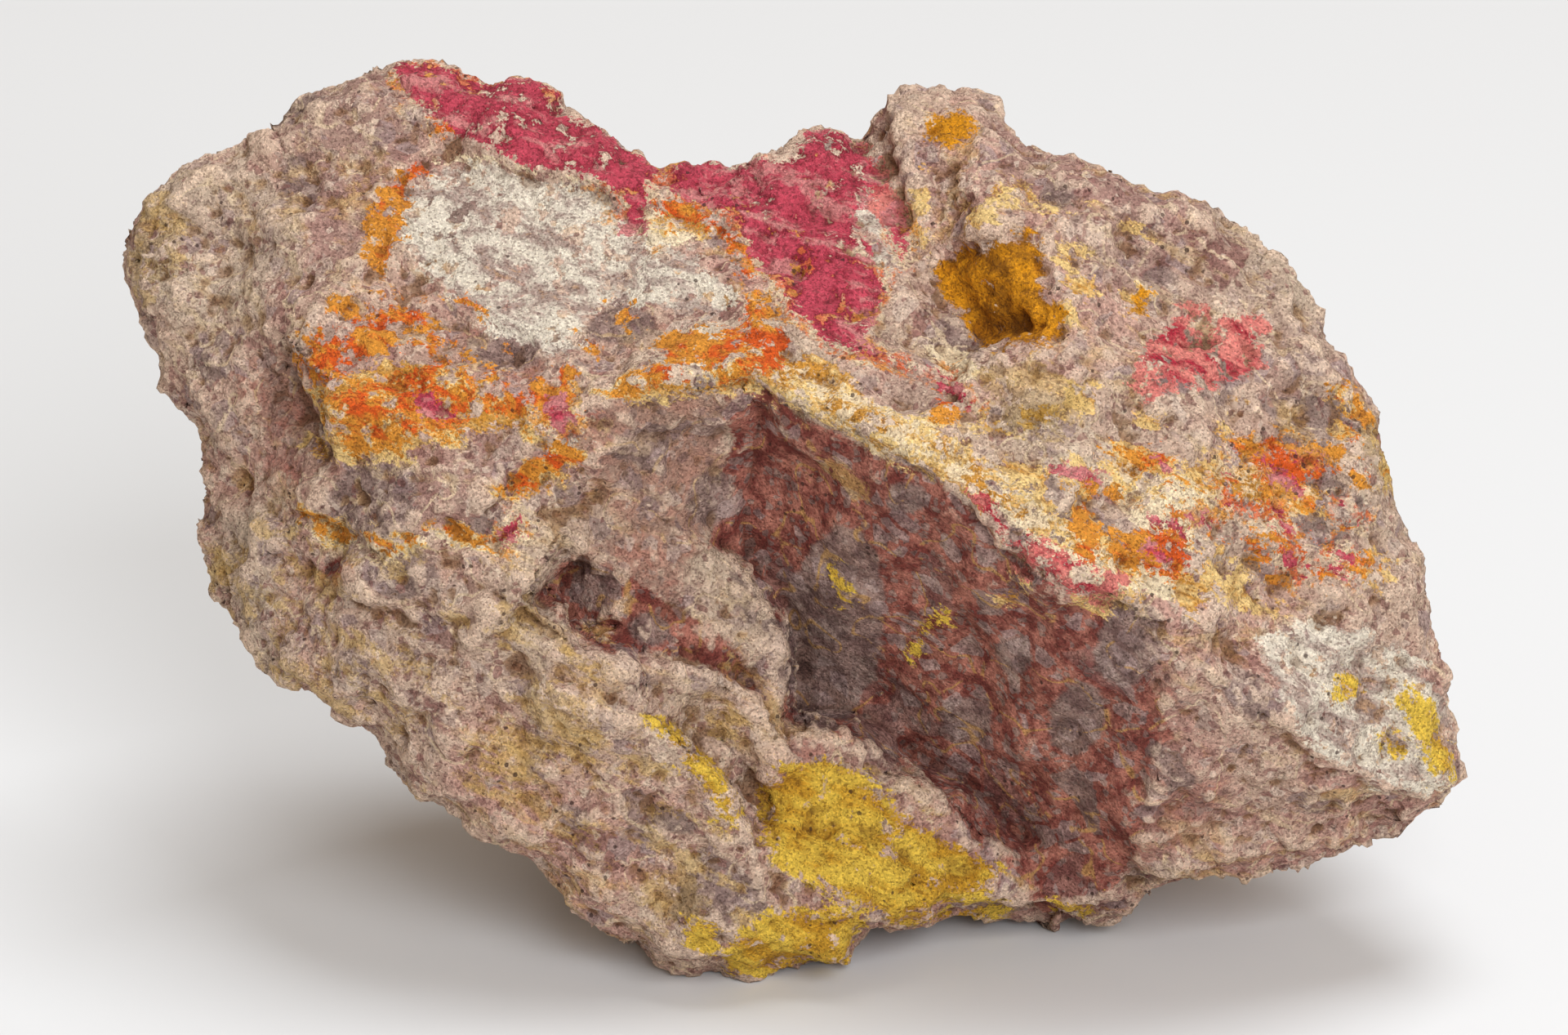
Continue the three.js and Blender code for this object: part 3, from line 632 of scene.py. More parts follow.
# %% Mustard: an ochre lining of the small hollow on the right
mustard_zones = [
    [(1146, 334), (1170, 306), (1212, 298), (1262, 284), (1276, 310), (1270, 342), (1300, 382),
     (1290, 415), (1250, 425), (1216, 430), (1190, 410), (1180, 380), (1160, 365)],
    [(1140, 150), (1180, 136), (1190, 160), (1160, 180), (1130, 170)],
    [(1390, 364), (1402, 360), (1400, 388), (1386, 384)],
]
keep_zone("mustard", mustard_zones)

# %% Lemon: an earthy yellow in the basin and on the foot
lemon_zones = [
    [(924, 962), (962, 936), (1010, 926), (1052, 952), (1092, 985), (1132, 1010), (1182, 1034),
     (1228, 1062), (1204, 1098), (1150, 1112), (1110, 1128), (1060, 1116), (1002, 1078),
     (950, 1050), (930, 1010)],
    [(900, 1150), (960, 1112), (1050, 1112), (1062, 1140), (1044, 1186), (960, 1194), (880, 1194)],
    [(836, 1126), (880, 1130), (872, 1170), (846, 1160)],
    [(800, 878), (842, 902), (882, 946), (906, 1000), (886, 1004), (852, 952), (812, 908)],
    [(1080, 1104), (1140, 1112), (1200, 1104), (1230, 1112), (1180, 1134), (1080, 1136)],
    [(1638, 826), (1664, 828), (1668, 850), (1644, 852)],
    [(1720, 852), (1752, 868), (1782, 918), (1782, 950), (1758, 944), (1740, 900)],
    [(1700, 900), (1720, 912), (1712, 924), (1698, 914)],
    [(1290, 1104), (1340, 1106), (1330, 1120), (1294, 1118)],
]
lemon_zones += band([(1118, 796), (1136, 764), (1154, 758)], 3.0)
lemon_zones += band([(1018, 698), (1036, 736)], 2.5)
keep_zone("lemon", lemon_zones)
olive_zones = [
    [(528, 808), (550, 812), (556, 826), (540, 830)],
    [(690, 850), (708, 862), (716, 878), (700, 874)],
    [(384, 690), (400, 700), (430, 722), (420, 730), (390, 712)],
    [(150, 250), (190, 230), (230, 270), (220, 330), (180, 380), (150, 330)],
    [(640, 830), (700, 850), (740, 890), (720, 930), (660, 900), (630, 860)],
    [(796, 1070), (850, 1060), (880, 1110), (850, 1150), (800, 1130)],
    [(1190, 440), (1260, 440), (1330, 470), (1300, 540), (1220, 530)],
    [(1660, 500), (1700, 520), (1716, 600), (1690, 600), (1660, 550)],
    [(1000, 1000), (1060, 980), (1120, 1020), (1080, 1060), (1020, 1050)],
]
olive_zones += band([(1006, 572), (1034, 578), (1046, 608)], 2.0)
olive_zones += strokes(70, 290, 900, 740, 1170, 38, 8.0, seed=10)
olive_zones += strokes(24, 260, 640, 640, 900, 50, 6.0, seed=11)
keep_zone("olive", olive_zones)
ashen_zones = [
    [(140, 240), (200, 200), (300, 190), (360, 250), (350, 330), (300, 380), (220, 400), (170, 360)],
    [(300, 610), (340, 640), (330, 760), (360, 840), (320, 840), (270, 740), (256, 640)],
]
keep_zone("ashen", ashen_zones)
# Mauve: a mauve tint of the ground, and, mostly on the upper faces, painted shade that makes them less
# bright
mauve_and_shade_zones = [
    [(1200, 130), (1280, 160), (1400, 215), (1500, 250), (1580, 350), (1640, 440), (1600, 520),
     (1540, 500), (1560, 400), (1500, 360), (1400, 370), (1330, 330), (1290, 250), (1220, 220)],
    [(360, 110), (440, 80), (480, 90), (520, 160), (480, 230), (440, 330), (380, 360), (360, 250),
     (340, 180)],
    [(1080, 430), (1140, 430), (1180, 500), (1140, 520), (1080, 490)],
    [(430, 560), (540, 560), (600, 520), (680, 540), (660, 600), (560, 640), (470, 660), (410, 620)],
]
keep_zone("mauve_and_shade", mauve_and_shade_zones)

# %% Cream: a pale crust beside the films
cream_zones = [
    *band([(372, 640), (402, 658), (440, 664), (480, 678), (530, 650), (562, 660), (604, 670),
           (634, 650)], 7.0),
    *band([(960, 452), (1010, 486), (1086, 540), (1146, 552), (1196, 586), (1260, 640),
           (1340, 690), (1430, 716)], 20.0),
    *band([(930, 420), (980, 452), (1040, 486), (1110, 524), (1180, 560), (1240, 610)], 12.0),
    *band([(744, 486), (800, 462), (880, 462), (936, 452)], 7.0),
    *band([(520, 196), (600, 194), (660, 212), (740, 226)], 6.0),
    [(780, 260), (810, 250), (852, 290), (830, 304), (790, 296)],
    [(1140, 420), (1200, 440), (1190, 470), (1150, 460)],
    [(1360, 560), (1480, 600), (1460, 680), (1380, 640)],
]
keep_zone("cream", cream_zones)

# %% White: altered feldspar and lead carbonate
white_zones = [
    [(486, 236), (532, 208), (600, 200), (652, 216), (702, 224), (742, 228), (770, 250),
     (776, 286), (802, 300), (850, 312), (882, 342), (902, 366), (884, 394), (830, 392),
     (800, 376), (740, 372), (716, 400), (714, 424), (690, 440), (650, 430), (600, 398),
     (560, 372), (530, 332), (494, 292)],
    [(826, 420), (870, 404), (920, 420), (960, 440), (930, 452), (880, 450), (836, 440)],
    [(1540, 792), (1600, 770), (1662, 768), (1722, 800), (1772, 850), (1790, 900), (1784, 952),
     (1742, 962), (1690, 956), (1640, 932), (1600, 900), (1570, 860), (1550, 820)],
    [(1038, 228), (1066, 226), (1082, 252), (1106, 300), (1092, 340), (1064, 330), (1078, 300),
     (1050, 270)],
    [(676, 530), (700, 528), (716, 546), (690, 552)],
]
keep_zone("white", white_zones)

# %% Maroon: the dark ground of the broken hollow, and its large grey pieces
maroon_zones = [
    broken_hollow,
    [(655, 730), (694, 684), (760, 696), (805, 726), (850, 756), (905, 800), (935, 856),
     (880, 824), (806, 800), (739, 802)],
    [(392, 690), (420, 684), (440, 704), (430, 722), (396, 712)],
]
rosy_zones = [
    [(280, 440), (340, 425), (392, 455), (404, 505), (352, 534), (295, 505)],
    [(712, 500), (762, 482), (832, 476), (902, 486), (890, 560), (876, 640), (850, 690),
     (820, 740), (740, 720), (700, 690), (760, 640), (726, 590), (700, 540)],
    [(560, 400), (660, 420), (700, 440), (640, 470), (570, 450)],
    [(720, 376), (800, 376), (816, 400), (790, 420), (730, 418)],
    [(320, 556), (366, 552), (372, 590), (330, 596)],
    [(1300, 1000), (1400, 960), (1500, 960), (1480, 1010), (1400, 1060), (1300, 1090)],
    [(1340, 740), (1420, 760), (1440, 860), (1400, 880)],
    [(940, 930), (1000, 900), (1020, 920), (960, 960)],
]
keep_zone("rosy", rosy_zones)
keep_zone("maroon", maroon_zones)


oval_corners = 14


def oval(centre_x, centre_y, half_width, half_height, lean=0.0):
    """An oval zone outline, leaning by an angle in degrees."""
    turn = math.radians(lean)
    points = []
    for step in range(oval_corners):
        angle = 2 * math.pi * step / oval_corners
        wide, high = half_width * math.cos(angle), half_height * math.sin(angle)
        x = centre_x + wide * math.cos(turn) - high * math.sin(turn)
        y = centre_y + wide * math.sin(turn) + high * math.cos(turn)
        points.append((x, y))
    return points


clast_zones = [
    oval(1020, 770, 62, 128, 8), oval(492, 704, 46, 30), oval(458, 612, 56, 46),
    oval(1384, 786, 42, 58, 20), oval(760, 398, 44, 22, -10), oval(1182, 880, 34, 30),
    oval(628, 424, 60, 28, -12), oval(870, 612, 30, 34), oval(1110, 612, 26, 20),
    oval(1318, 880, 34, 44, 15), oval(600, 640, 26, 22), oval(1170, 420, 40, 34),
    oval(1420, 352, 24, 30), oval(1296, 236, 24, 18), oval(1530, 850, 40, 26, 40),
    oval(820, 1004, 36, 16, 20), oval(700, 1000, 24, 16, 20), oval(366, 230, 26, 40),
    oval(796, 772, 26, 22), oval(1242, 800, 22, 26),
]
keep_zone("clast", clast_zones)

# %% [markdown]
# Shader node groups hold what several parts of the material need. The first helper makes any node and
# sets its inputs, by value or by a link, so that each group below reads like a short recipe.

# %% Helpers for nodes


def make(tree, kind, settings=None, **inputs):
    """Adds a node. An input is named with underscores for spaces, or i0, i1 by its number."""
    node = tree.nodes.new(kind)
    for name, value in (settings or {}).items():
        setattr(node, name, value)
    for name, value in inputs.items():
        by_number = name[0] == "i" and name[1:].isdigit()
        socket = node.inputs[int(name[1:]) if by_number else name.replace("_", " ")]
        if isinstance(value, bpy.types.NodeSocket):
            tree.links.new(value, socket)
        else:
            socket.default_value = value
    return node


def maths(tree, operation, a, b=0.0, c=0.0, clamp=False):
    """One sum on values. Returns its output."""
    settings = {"operation": operation, "use_clamp": clamp}
    return make(tree, "ShaderNodeMath", settings, i0=a, i1=b, i2=c).outputs[0]


def vector_maths(tree, operation, **inputs):
    """One sum on places or directions. Returns its output."""
    return make(tree, "ShaderNodeVectorMath", {"operation": operation}, **inputs).outputs[0]


def smooth_step(tree, value, low, high):
    """0 below low, 1 above high, and a soft rise between."""
    settings = {"interpolation_type": "SMOOTHSTEP"}
    node = make(tree, "ShaderNodeMapRange", settings, Value=value, From_Min=low, From_Max=high)
    return node.outputs["Result"]


def blend_colours(tree, share, below, above, way="MIX"):
    """Two colours mixed by a share from 0 to 1."""
    settings = {"data_type": "RGBA", "blend_type": way}
    return make(tree, "ShaderNodeMix", settings, i0=share, i6=below, i7=above).outputs[2]


def grains(tree, place, scale, detail=3.0, roughness=0.6, distortion=0.0):
    """Soft noise of one size, as a value from about 0.25 to 0.75."""
    sizes = {"Scale": scale, "Detail": detail, "Roughness": roughness, "Distortion": distortion}
    return make(tree, "ShaderNodeTexNoise", Vector=place, **sizes).outputs[0]


def cells(tree, place, scale, feature="F1"):
    """Rounded cells of one size, as the node, whose outputs are Distance and Color."""
    return make(tree, "ShaderNodeTexVoronoi", {"feature": feature}, Vector=place, Scale=scale)


def colour(red, green, blue):
    """A colour as it is given, 0 to 255, turned into the linear light that the renderer uses."""
    parts = [part / 255 for part in (red, green, blue)]
    linear = [p / 12.92 if p <= 0.04045 else ((p + 0.055) / 1.055) ** 2.4 for p in parts]
    return (*linear, 1.0)


def new_group(name, takes, gives):
    """A node group with named inputs and outputs. Returns its tree, input node and output node."""
    tree = bpy.data.node_groups.new(name, "ShaderNodeTree")
    for socket, kind, start in takes:
        made = tree.interface.new_socket(name=socket, in_out="INPUT", socket_type=kind)
        if start is not None:
            made.default_value = start
    for socket, kind in gives:
        tree.interface.new_socket(name=socket, in_out="OUTPUT", socket_type=kind)
    return tree, tree.nodes.new("NodeGroupInput"), tree.nodes.new("NodeGroupOutput")


def use_group(tree, group, **inputs):
    """Puts a node group to use in a tree."""
    return make(tree, "ShaderNodeGroup", {"node_tree": group}, **inputs)


# %% [markdown]
# Breccia is angular pieces of older rock in a fine ground. Each size of piece is a layer of cells: a
# cell's own random colour decides whether it is a piece or ground, and the cells are warped a little so
# they aren't round.

# %% The group for one size of rock pieces
pieces_tree, pieces_in, pieces_out = new_group(
    "rock_pieces",
    [
        ("Vector", "NodeSocketVector", None),
        ("Wander", "NodeSocketVector", None),
        ("Scale", "NodeSocketFloat", 300.0),
        ("Share", "NodeSocketFloat", 0.3),
        ("Warp", "NodeSocketFloat", 0.0006),
        ("Gap", "NodeSocketFloat", 0.1),
    ],
    [("Mask", "NodeSocketFloat"), ("Tone", "NodeSocketFloat")],
)
given = pieces_in.outputs
warp = vector_maths(pieces_tree, "SCALE", i0=given["Wander"], Scale=given["Warp"])
warped = vector_maths(pieces_tree, "ADD", i0=given["Vector"], i1=warp)
piece_cells = cells(pieces_tree, warped, given["Scale"])
piece_tones = make(pieces_tree, "ShaderNodeSeparateColor", Color=piece_cells.outputs["Color"])
chosen = maths(pieces_tree, "LESS_THAN", piece_tones.outputs[0], given["Share"])
piece_edges = cells(pieces_tree, warped, given["Scale"], "DISTANCE_TO_EDGE")
gap_here = maths(pieces_tree, "MULTIPLY", piece_tones.outputs[1], given["Gap"])
inward = maths(pieces_tree, "SUBTRACT", piece_edges.outputs["Distance"], gap_here)
piece_edge = 0.035
body = smooth_step(pieces_tree, inward, 0.0, piece_edge)
pieces_tree.links.new(maths(pieces_tree, "MULTIPLY", chosen, body), pieces_out.inputs["Mask"])
pieces_tree.links.new(piece_tones.outputs[2], pieces_out.inputs["Tone"])

# %% [markdown]
# A mineral film follows its zone but breaks up at the rim and in patches inside, where the rock shows
# through. The group adds streaky noise to the zone's distance, and a finer one, and then cuts at zero.

# %% The group for the edge of a film
film_tree, film_in, film_out = new_group(
    "film_edge",
    [
        ("Distance", "NodeSocketFloat", 0.0),
        ("Streak Noise", "NodeSocketFloat", 0.5),
        ("Fine Noise", "NodeSocketFloat", 0.5),
        ("Patch Noise", "NodeSocketFloat", 0.5),
        ("Ragged", "NodeSocketFloat", 3.0),
        ("Fine", "NodeSocketFloat", 1.5),
        ("Bare", "NodeSocketFloat", 0.0),
        ("Softness", "NodeSocketFloat", 0.15),
    ],
    [("Mask", "NodeSocketFloat")],
)
given = film_in.outputs
bare_edge = 0.05
centred_streak = maths(film_tree, "SUBTRACT", given["Streak Noise"], 0.5)
centred_fine = maths(film_tree, "SUBTRACT", given["Fine Noise"], 0.5)
edge_moved = maths(film_tree, "MULTIPLY_ADD", centred_streak, given["Ragged"], given["Distance"])
edge_moved = maths(film_tree, "MULTIPLY_ADD", centred_fine, given["Fine"], edge_moved)
edge_mask = smooth_step(film_tree, maths(film_tree, "DIVIDE", edge_moved, given["Softness"]), -1.0, 1.0)
above_bare = maths(film_tree, "SUBTRACT", given["Patch Noise"], given["Bare"])
kept = smooth_step(film_tree, above_bare, 0.0, bare_edge)
film_tree.links.new(maths(film_tree, "MULTIPLY", edge_mask, kept), film_out.inputs["Mask"])

# %% [markdown]
# The stone's material puts the layers together as nature did: ground, rock pieces, dust, white film,
# yellow, orange and last the crimson. Salt is the fine light grain and pepper the fine dark one, and
# both are laid over every layer, because the films are thin and follow the sugary rock. One bump gives
# grain below the mesh's size.

# %% Places and zones
paint = bpy.data.materials.new("coated_rock")
paint.use_nodes = True
tree = paint.node_tree
shader = tree.nodes["Principled BSDF"]
place = make(tree, "ShaderNodeTexCoord").outputs["Object"]
streak_slope = (0, math.radians(25), 0)
streaky = make(
    tree,
    "ShaderNodeMapping",
    {"vector_type": "TEXTURE"},
    Vector=place,
    Rotation=streak_slope,
    Scale=(2.0, 1.0, 0.7),
).outputs[0]


def zone(name):
    """The value that was stored on the mesh under a name."""
    return make(tree, "ShaderNodeAttribute", {"attribute_name": name}).outputs["Fac"]


def shifted(noise_value, amount, value):
    """A value moved up and down by a noise."""
    return maths(tree, "MULTIPLY_ADD", maths(tree, "SUBTRACT", noise_value, 0.5), amount, value)


# %% The noises that the layers share
wander_noise = make(tree, "ShaderNodeTexNoise", Vector=place, Scale=520.0, Detail=2.0).outputs["Color"]
middle_grey = (0.5, 0.5, 0.5)
wander = vector_maths(tree, "SUBTRACT", i0=wander_noise, i1=middle_grey)
patches = grains(tree, place, 75.0, 4.0, 0.6)
broad = grains(tree, place, 26.0, 2.0, 0.5)
tones = grains(tree, place, 420.0, 4.0, 0.72)
streaks = grains(tree, streaky, 280.0, 5.0, 0.68, 0.4)
speckle = grains(tree, place, 1700.0, 3.0, 0.8)
vein_noise = grains(tree, place, 130.0, 1.5, 0.5)
vein_width = maths(tree, "ABSOLUTE", maths(tree, "SUBTRACT", vein_noise, 0.5))
vein_lines = smooth_step(tree, vein_width, 0.012, 0.004)
veins = maths(tree, "MULTIPLY", vein_lines, smooth_step(tree, tones, 0.44, 0.52))
grain_cells = make(tree, "ShaderNodeSeparateColor", Color=cells(tree, place, 5200.0).outputs["Color"])
grain_tone = shifted(speckle, 1.1, grain_cells.outputs[0])
salt = smooth_step(tree, grain_tone, 0.7, 0.86)
pepper = smooth_step(tree, grain_tone, 0.3, 0.14)
# Pits: small round dots, painted dark brown in the last layers as painted shade where small pits would be
pit_cells = cells(tree, place, 1350.0)
pit_tone = make(tree, "ShaderNodeSeparateColor", Color=pit_cells.outputs["Color"]).outputs[0]
pit_share = maths(tree, "MULTIPLY", smooth_step(tree, patches, 0.5, 0.58), 0.14)
pit_size = maths(tree, "MULTIPLY_ADD", speckle, 0.5, 0.05)
pit_chosen = maths(tree, "LESS_THAN", pit_tone, pit_share)
pit_inward = maths(tree, "SUBTRACT", pit_size, pit_cells.outputs["Distance"])
pit_shade = maths(tree, "MULTIPLY", pit_chosen, smooth_step(tree, pit_inward, 0.0, 0.06))
print("nodes for the shared noises:", len(tree.nodes))


# %% Helpers for films and layers
def film(name, ragged, fine, bare, softness):
    """The mask of one zone's film: how ragged it is, how bare in patches and how soft at its edge."""
    return use_group(
        tree,
        film_tree,
        Distance=zone(name),
        Streak_Noise=streaks,
        Fine_Noise=speckle,
        Patch_Noise=tones,
        Ragged=ragged,
        Fine=fine,
        Bare=bare,
        Softness=softness,
    ).outputs[0]


def some(share, mask):
    """A mask made weaker."""
    return maths(tree, "MULTIPLY", mask, share)


def layer(base, share, mask, top):
    """A colour laid over the colours so far, where the mask is, as strongly as the share says."""
    return blend_colours(tree, some(share, mask), base, top)


def tinted(value, low, high, below, above):
    """A colour that turns from one into the other as a value rises from low to high."""
    return blend_colours(tree, smooth_step(tree, value, low, high), colour(*below), colour(*above))


def off_maroon(mask):
    """A mask kept away from the maroon ground, where the rock is clean."""
    return maths(tree, "MULTIPLY", mask, maths(tree, "MULTIPLY_ADD", maroon_all, -0.8, 0.85))


# %% [markdown]
# The ground of the breccia is beige, with patches that are greyer or rosier, and a dark maroon in the
# hollow, where the break is fresh. The pieces of older rock lie in it, large, middle and small.

# %% The ground of the rock
beige = tinted(patches, 0.38, 0.62, (204, 174, 152), (202, 158, 142))
beige = layer(beige, 0.85, smooth_step(tree, tones, 0.53, 0.6), colour(158, 116, 104))
beige = layer(beige, 0.9, smooth_step(tree, tones, 0.43, 0.37), colour(226, 200, 176))
dark_ground = tinted(tones, 0.38, 0.64, (120, 56, 48), (188, 122, 104))
rosy_share = some(0.55, film("rosy", 5.0, 3.0, 0.0, 0.8))
maroon_all = maths(tree, "MAXIMUM", film("maroon", 2.5, 1.5, 0.0, 0.3), rosy_share)
# partly the ground's mauve tint, partly painted shade on the upper faces
beige = layer(beige, 0.6, film("mauve_and_shade", 8.0, 5.0, 0.36, 0.8), colour(158, 122, 112))
beige = layer(beige, 0.6, film("ashen", 8.0, 5.0, 0.36, 1.0), colour(204, 186, 162))
beige = layer(beige, 0.5, smooth_step(tree, broad, 0.53, 0.66), colour(172, 124, 112))
beige = layer(beige, 0.5, smooth_step(tree, broad, 0.46, 0.34), colour(198, 182, 156))
ground = blend_colours(tree, maroon_all, beige, dark_ground)
print("nodes up to the ground:", len(tree.nodes))

# %% The pieces of older rock, large to small
where = {"Vector": place, "Wander": wander}
large_pieces = use_group(tree, pieces_tree, Scale=150.0, Share=0.27, Warp=0.0012, Gap=0.35, **where)
middle_pieces = use_group(tree, pieces_tree, Scale=400.0, Share=0.38, Warp=0.0005, Gap=0.3, **where)
small_pieces = use_group(tree, pieces_tree, Scale=1150.0, Share=0.4, Warp=0.0002, Gap=0.25, **where)
grey_piece = tinted(tones, 0.42, 0.58, (118, 94, 88), (160, 136, 126))
brown_piece = tinted(tones, 0.42, 0.58, (124, 78, 72), (158, 112, 102))
pale_piece = tinted(tones, 0.42, 0.58, (180, 152, 138), (222, 198, 178))
large_grey = smooth_step(tree, large_pieces.outputs["Tone"], 0.35, 0.6)
large_colour = blend_colours(tree, large_grey, brown_piece, grey_piece)
paleness = maths(tree, "MULTIPLY_ADD", maroon_all, -0.85, 1.0)
middle_pale = smooth_step(tree, middle_pieces.outputs["Tone"], 0.4, 0.7)
middle_pale = maths(tree, "MULTIPLY", middle_pale, paleness)
mauve_piece = tinted(tones, 0.42, 0.58, (138, 112, 108), (182, 156, 150))
middle_colour = blend_colours(tree, middle_pale, mauve_piece, pale_piece)
small_pale = smooth_step(tree, small_pieces.outputs["Tone"], 0.4, 0.6)
small_pale = maths(tree, "MULTIPLY", small_pale, paleness)
small_dark = blend_colours(tree, maroon_all, brown_piece, grey_piece)
small_colour = blend_colours(tree, small_pale, small_dark, pale_piece)
rock = blend_colours(tree, some(0.8, large_pieces.outputs["Mask"]), ground, large_colour)
rock = layer(rock, 0.85, film("clast", 2.0, 1.0, 0.0, 0.3), grey_piece)
rock = layer(rock, 0.75, middle_pieces.outputs["Mask"], middle_colour)
rock = layer(rock, 0.7, small_pieces.outputs["Mask"], small_colour)
print("nodes up to the rock pieces:", len(tree.nodes))

# %% [markdown]
# Weather leaves cream dust, ochre stains and thin pale veins. Edges that stick out are made pale, partly
# as wear and partly as a painted highlight, and hollows hold brown silt. Both read the hollow depth that
# was stored on the mesh.

# %% Dust, stains, veins, pale edges of wear and painted highlight, and silt
cream_dust = off_maroon(smooth_step(tree, streaks, 0.53, 0.64))
rock = layer(rock, 0.8, cream_dust, colour(220, 192, 156))
stain_patches = smooth_step(tree, patches, 0.5, 0.62)
stain = off_maroon(maths(tree, "MULTIPLY", stain_patches, smooth_step(tree, streaks, 0.48, 0.56)))
rock = layer(rock, 0.45, stain, colour(204, 156, 58))
vein_colour = blend_colours(tree, maroon_all, colour(232, 206, 170), colour(196, 150, 84))
rock = layer(rock, 0.7, veins, vein_colour)
hollow = zone("hollow")
speckled_hollow = shifted(speckle, 0.3, hollow)
# Pale edges: partly wear, partly a painted highlight on the edges that stick out
worn_and_highlit = smooth_step(tree, speckled_hollow, -0.1, -0.34)
rock = layer(rock, 0.65, worn_and_highlit, colour(236, 206, 180))
streaked_hollow = shifted(streaks, 0.8, hollow)
silted = off_maroon(smooth_step(tree, streaked_hollow, 0.12, 0.3))
rock = layer(rock, 0.5, silted, colour(168, 122, 62))
print("nodes up to the silt:", len(tree.nodes))

# %% [markdown]
# The films follow in the order in which they cover one another. Each has two tones of its own that change
# with the streaks, because such films are smeared along the slip.

# %% Cream, white and yellow films
coated = blend_colours(tree, film("cream", 6.0, 2.5, 0.38, 0.25), rock, colour(240, 218, 180))
white_colour = tinted(streaks, 0.42, 0.56, (174, 150, 138), (234, 222, 202))
white_colour = layer(white_colour, 0.7, smooth_step(tree, streaks, 0.42, 0.36), colour(192, 150, 108))
coated = layer(coated, 0.92, film("white", 8.0, 3.0, 0.4, 0.3), white_colour)
yellow_colour = tinted(streaks, 0.42, 0.58, (200, 140, 54), (240, 204, 136))
coated = blend_colours(tree, film("yellow", 8.0, 3.0, 0.4, 0.2), coated, yellow_colour)
coated = layer(coated, 0.8, film("cream", 5.0, 2.5, 0.5, 0.25), colour(244, 222, 186))

# %% Mustard, olive and lemon films
mustard_colour = tinted(streaks, 0.42, 0.58, (160, 102, 10), (218, 146, 20))
coated = blend_colours(tree, film("mustard", 6.0, 3.0, 0.33, 0.3), coated, mustard_colour)
olive_colour = tinted(streaks, 0.44, 0.56, (150, 122, 50), (206, 168, 92))
coated = layer(coated, 0.5, film("olive", 9.0, 4.0, 0.4, 0.6), olive_colour)
lemon_colour = tinted(streaks, 0.4, 0.6, (200, 148, 40), (232, 194, 74))
coated = blend_colours(tree, film("lemon", 8.0, 4.0, 0.35, 0.3), coated, lemon_colour)

# %% Orange film, and the crust around the crimson
orange_colour = tinted(streaks, 0.44, 0.56, (214, 88, 26), (220, 146, 52))
crust_width = 0.9
crusted = use_group(
    tree,
    film_tree,
    Distance=maths(tree, "ADD", zone("crimson"), crust_width),
    Streak_Noise=streaks,
    Fine_Noise=speckle,
    Patch_Noise=patches,
    Ragged=7.0,
    Fine=6.0,
    Bare=0.47,
    Softness=0.4,
).outputs[0]
crust_cream = smooth_step(tree, tones, 0.48, 0.54)
crust_colour = blend_colours(tree, crust_cream, orange_colour, colour(230, 204, 166))
coated = layer(coated, 0.8, crusted, crust_colour)
coated = blend_colours(tree, film("orange", 8.0, 3.0, 0.44, 0.15), coated, orange_colour)

# %% Crimson and its blush
crimson_colour = tinted(tones, 0.4, 0.56, (146, 30, 50), (196, 70, 88))
crimson_colour = layer(crimson_colour, 0.75, smooth_step(tree, streaks, 0.5, 0.6), colour(214, 144, 138))
blush_colour = tinted(streaks, 0.42, 0.58, (176, 40, 58), (222, 132, 120))
coated = blend_colours(tree, film("blush", 7.0, 3.0, 0.42, 0.2), coated, blush_colour)
crimson_film = film("crimson", 6.0, 3.0, 0.39, 0.15)
coated = blend_colours(tree, crimson_film, coated, crimson_colour)

# %% Painted shade in hollows and pits, salt and pepper
# Painted shade: hollows of the mesh are multiplied darker, as shade falls in them
shaded = blend_colours(tree, 1.0, coated, (0.5, 0.42, 0.38, 1), "MULTIPLY")
coated = layer(coated, 0.85, smooth_step(tree, hollow, 0.07, 0.42), shaded)
dimmed = blend_colours(tree, 1.0, coated, (0.4, 0.34, 0.33, 1), "MULTIPLY")
lifted = blend_colours(tree, 1.0, coated, (1.5, 1.5, 1.5, 1), "MULTIPLY")
coated = layer(coated, 0.65, pepper, dimmed)
coated = layer(coated, 0.6, salt, lifted)
# painted shade: dark brown dots that stand for the shade inside small pits
coated = layer(coated, 0.8, pit_shade, colour(62, 40, 34))
tree.links.new(coated, shader.inputs["Base Color"])

# %% Gloss and bump
tree.links.new(maths(tree, "MULTIPLY_ADD", crimson_film, -0.18, 0.88), shader.inputs["Roughness"])
shader.inputs["Specular IOR Level"].default_value = 0.3
bump_grains = grains(tree, place, 900.0, 5.0, 0.72)
relief = make(tree, "ShaderNodeBump", Strength=1.0, Distance=0.0011, Height=bump_grains)
tree.links.new(relief.outputs[0], shader.inputs["Normal"])
stone_mesh.materials.append(paint)
print("material nodes:", len(tree.nodes))

# %% [markdown]
# The new surface rides on the CAD body and stands for its node, so that the solid isn't shown twice.

# %% Tie the surface to the solid
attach(stone, "root")
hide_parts("coated_stone")

# %% [markdown]
# The floor is a sheet that curves up far behind the stone, so the picture has no horizon. One wide lamp
# hangs above and another stands in front, with a pale sky around them, as in a small studio tent.

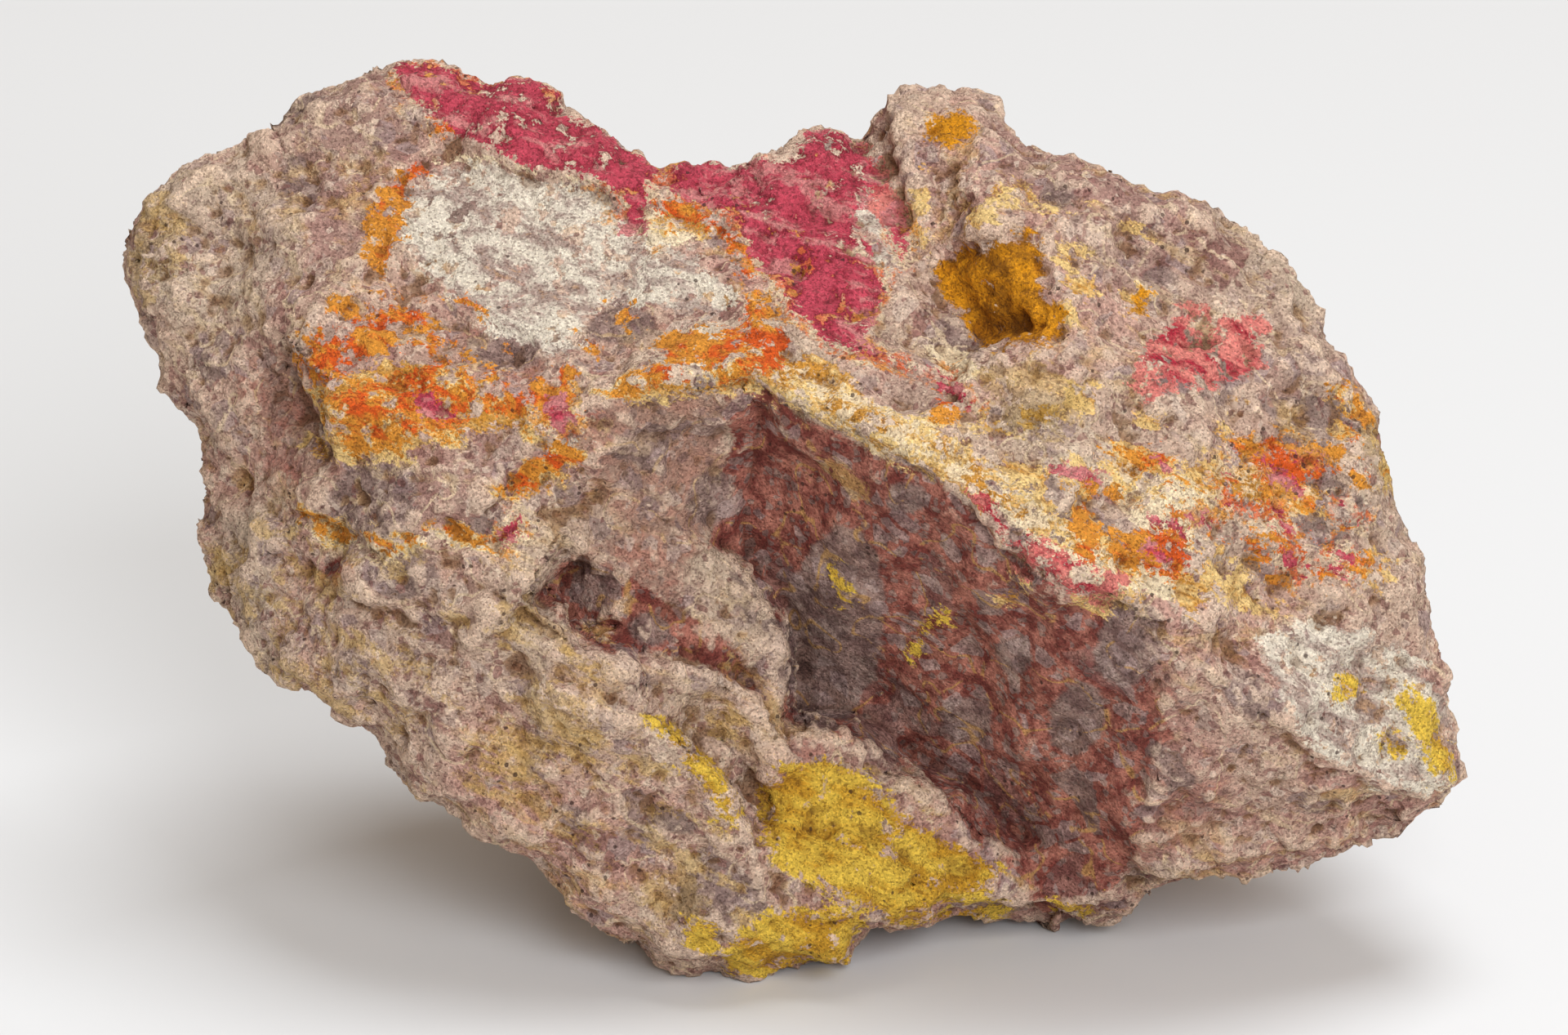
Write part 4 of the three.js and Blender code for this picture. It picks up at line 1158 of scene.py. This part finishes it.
# %% Floor
floor_mesh = bpy.data.meshes.new("floor")
sweep = bmesh.new()
bmesh.ops.create_grid(sweep, x_segments=2, y_segments=60, size=2.5)
curve_starts = 0.6
curve_rise = 0.45
for vert in sweep.verts:
    behind = max(0.0, vert.co.y - curve_starts)
    vert.co.z = curve_rise * behind * behind
sweep.to_mesh(floor_mesh)
sweep.free()
floor_mesh.shade_smooth()
floor = bpy.data.objects.new("floor", floor_mesh)
bpy.context.scene.collection.objects.link(floor)
floor_paint = bpy.data.materials.new("floor_paper")
floor_paint.use_nodes = True
floor_shader = floor_paint.node_tree.nodes["Principled BSDF"]
floor_shader.inputs["Base Color"].default_value = (0.745, 0.75, 0.75, 1)
floor_shader.inputs["Roughness"].default_value = 0.9
floor_shader.inputs["Specular IOR Level"].default_value = 0.1
floor_mesh.materials.append(floor_paint)

# %% Lamps and sky


cool_white = (0.955, 1.0, 1.055)


def soft_lamp(name, place, target, size, power):
    """A square lamp of one size in metres, turned towards a point."""
    lamp = bpy.data.lights.new(name, "AREA")
    lamp.color = cool_white
    lamp.shape = "SQUARE"
    lamp.size = size
    lamp.energy = power
    holder = bpy.data.objects.new(name, lamp)
    holder.location = place
    holder.rotation_euler = (Vector(target) - Vector(place)).to_track_quat("-Z", "Y").to_euler()
    bpy.context.scene.collection.objects.link(holder)


stone_centre = (0, 0, 0.035)
soft_lamp("top_lamp", (0.16, 0.12, 1.08), stone_centre, 0.62, 7.5)
soft_lamp("front_lamp", (0.35, -1.1, 0.75), stone_centre, 0.7, 13.3)
sky = bpy.data.worlds.new("sky")
bpy.context.scene.world = sky
sky.use_nodes = True
sky.node_tree.nodes["Background"].inputs["Color"].default_value = (1.0, 0.85, 0.7, 1)
sky.node_tree.nodes["Background"].inputs["Strength"].default_value = 0.37
bpy.context.scene.view_settings.view_transform = "Standard"

# %% [markdown]
# The camera stands where the eye of the sketch is. A long lens keeps the perspective flat, as in the
# picture.

# %% Camera
camera_data = bpy.data.cameras.new("camera")
picture_width = 1920 * sketch_unit
camera_data.sensor_width = 36
camera_data.lens = camera_data.sensor_width * eye_distance / picture_width
camera = bpy.data.objects.new("camera", camera_data)
looked_at = Vector(
    (
        sketch_centre[0] - stone_middle[0],
        sketch_centre[1] * math.sin(view_tilt) - stone_middle[1],
        sketch_centre[1] * math.cos(view_tilt),
    )
)
camera.location = looked_at + to_eye * eye_distance
camera.rotation_mode = "QUATERNION"
camera.rotation_quaternion = (-to_eye).to_track_quat("-Z", "Y")
camera_data.clip_start = 0.01
bpy.context.scene.collection.objects.link(camera)
bpy.context.scene.camera = camera
print("lens", round(camera_data.lens, 1), "mm")
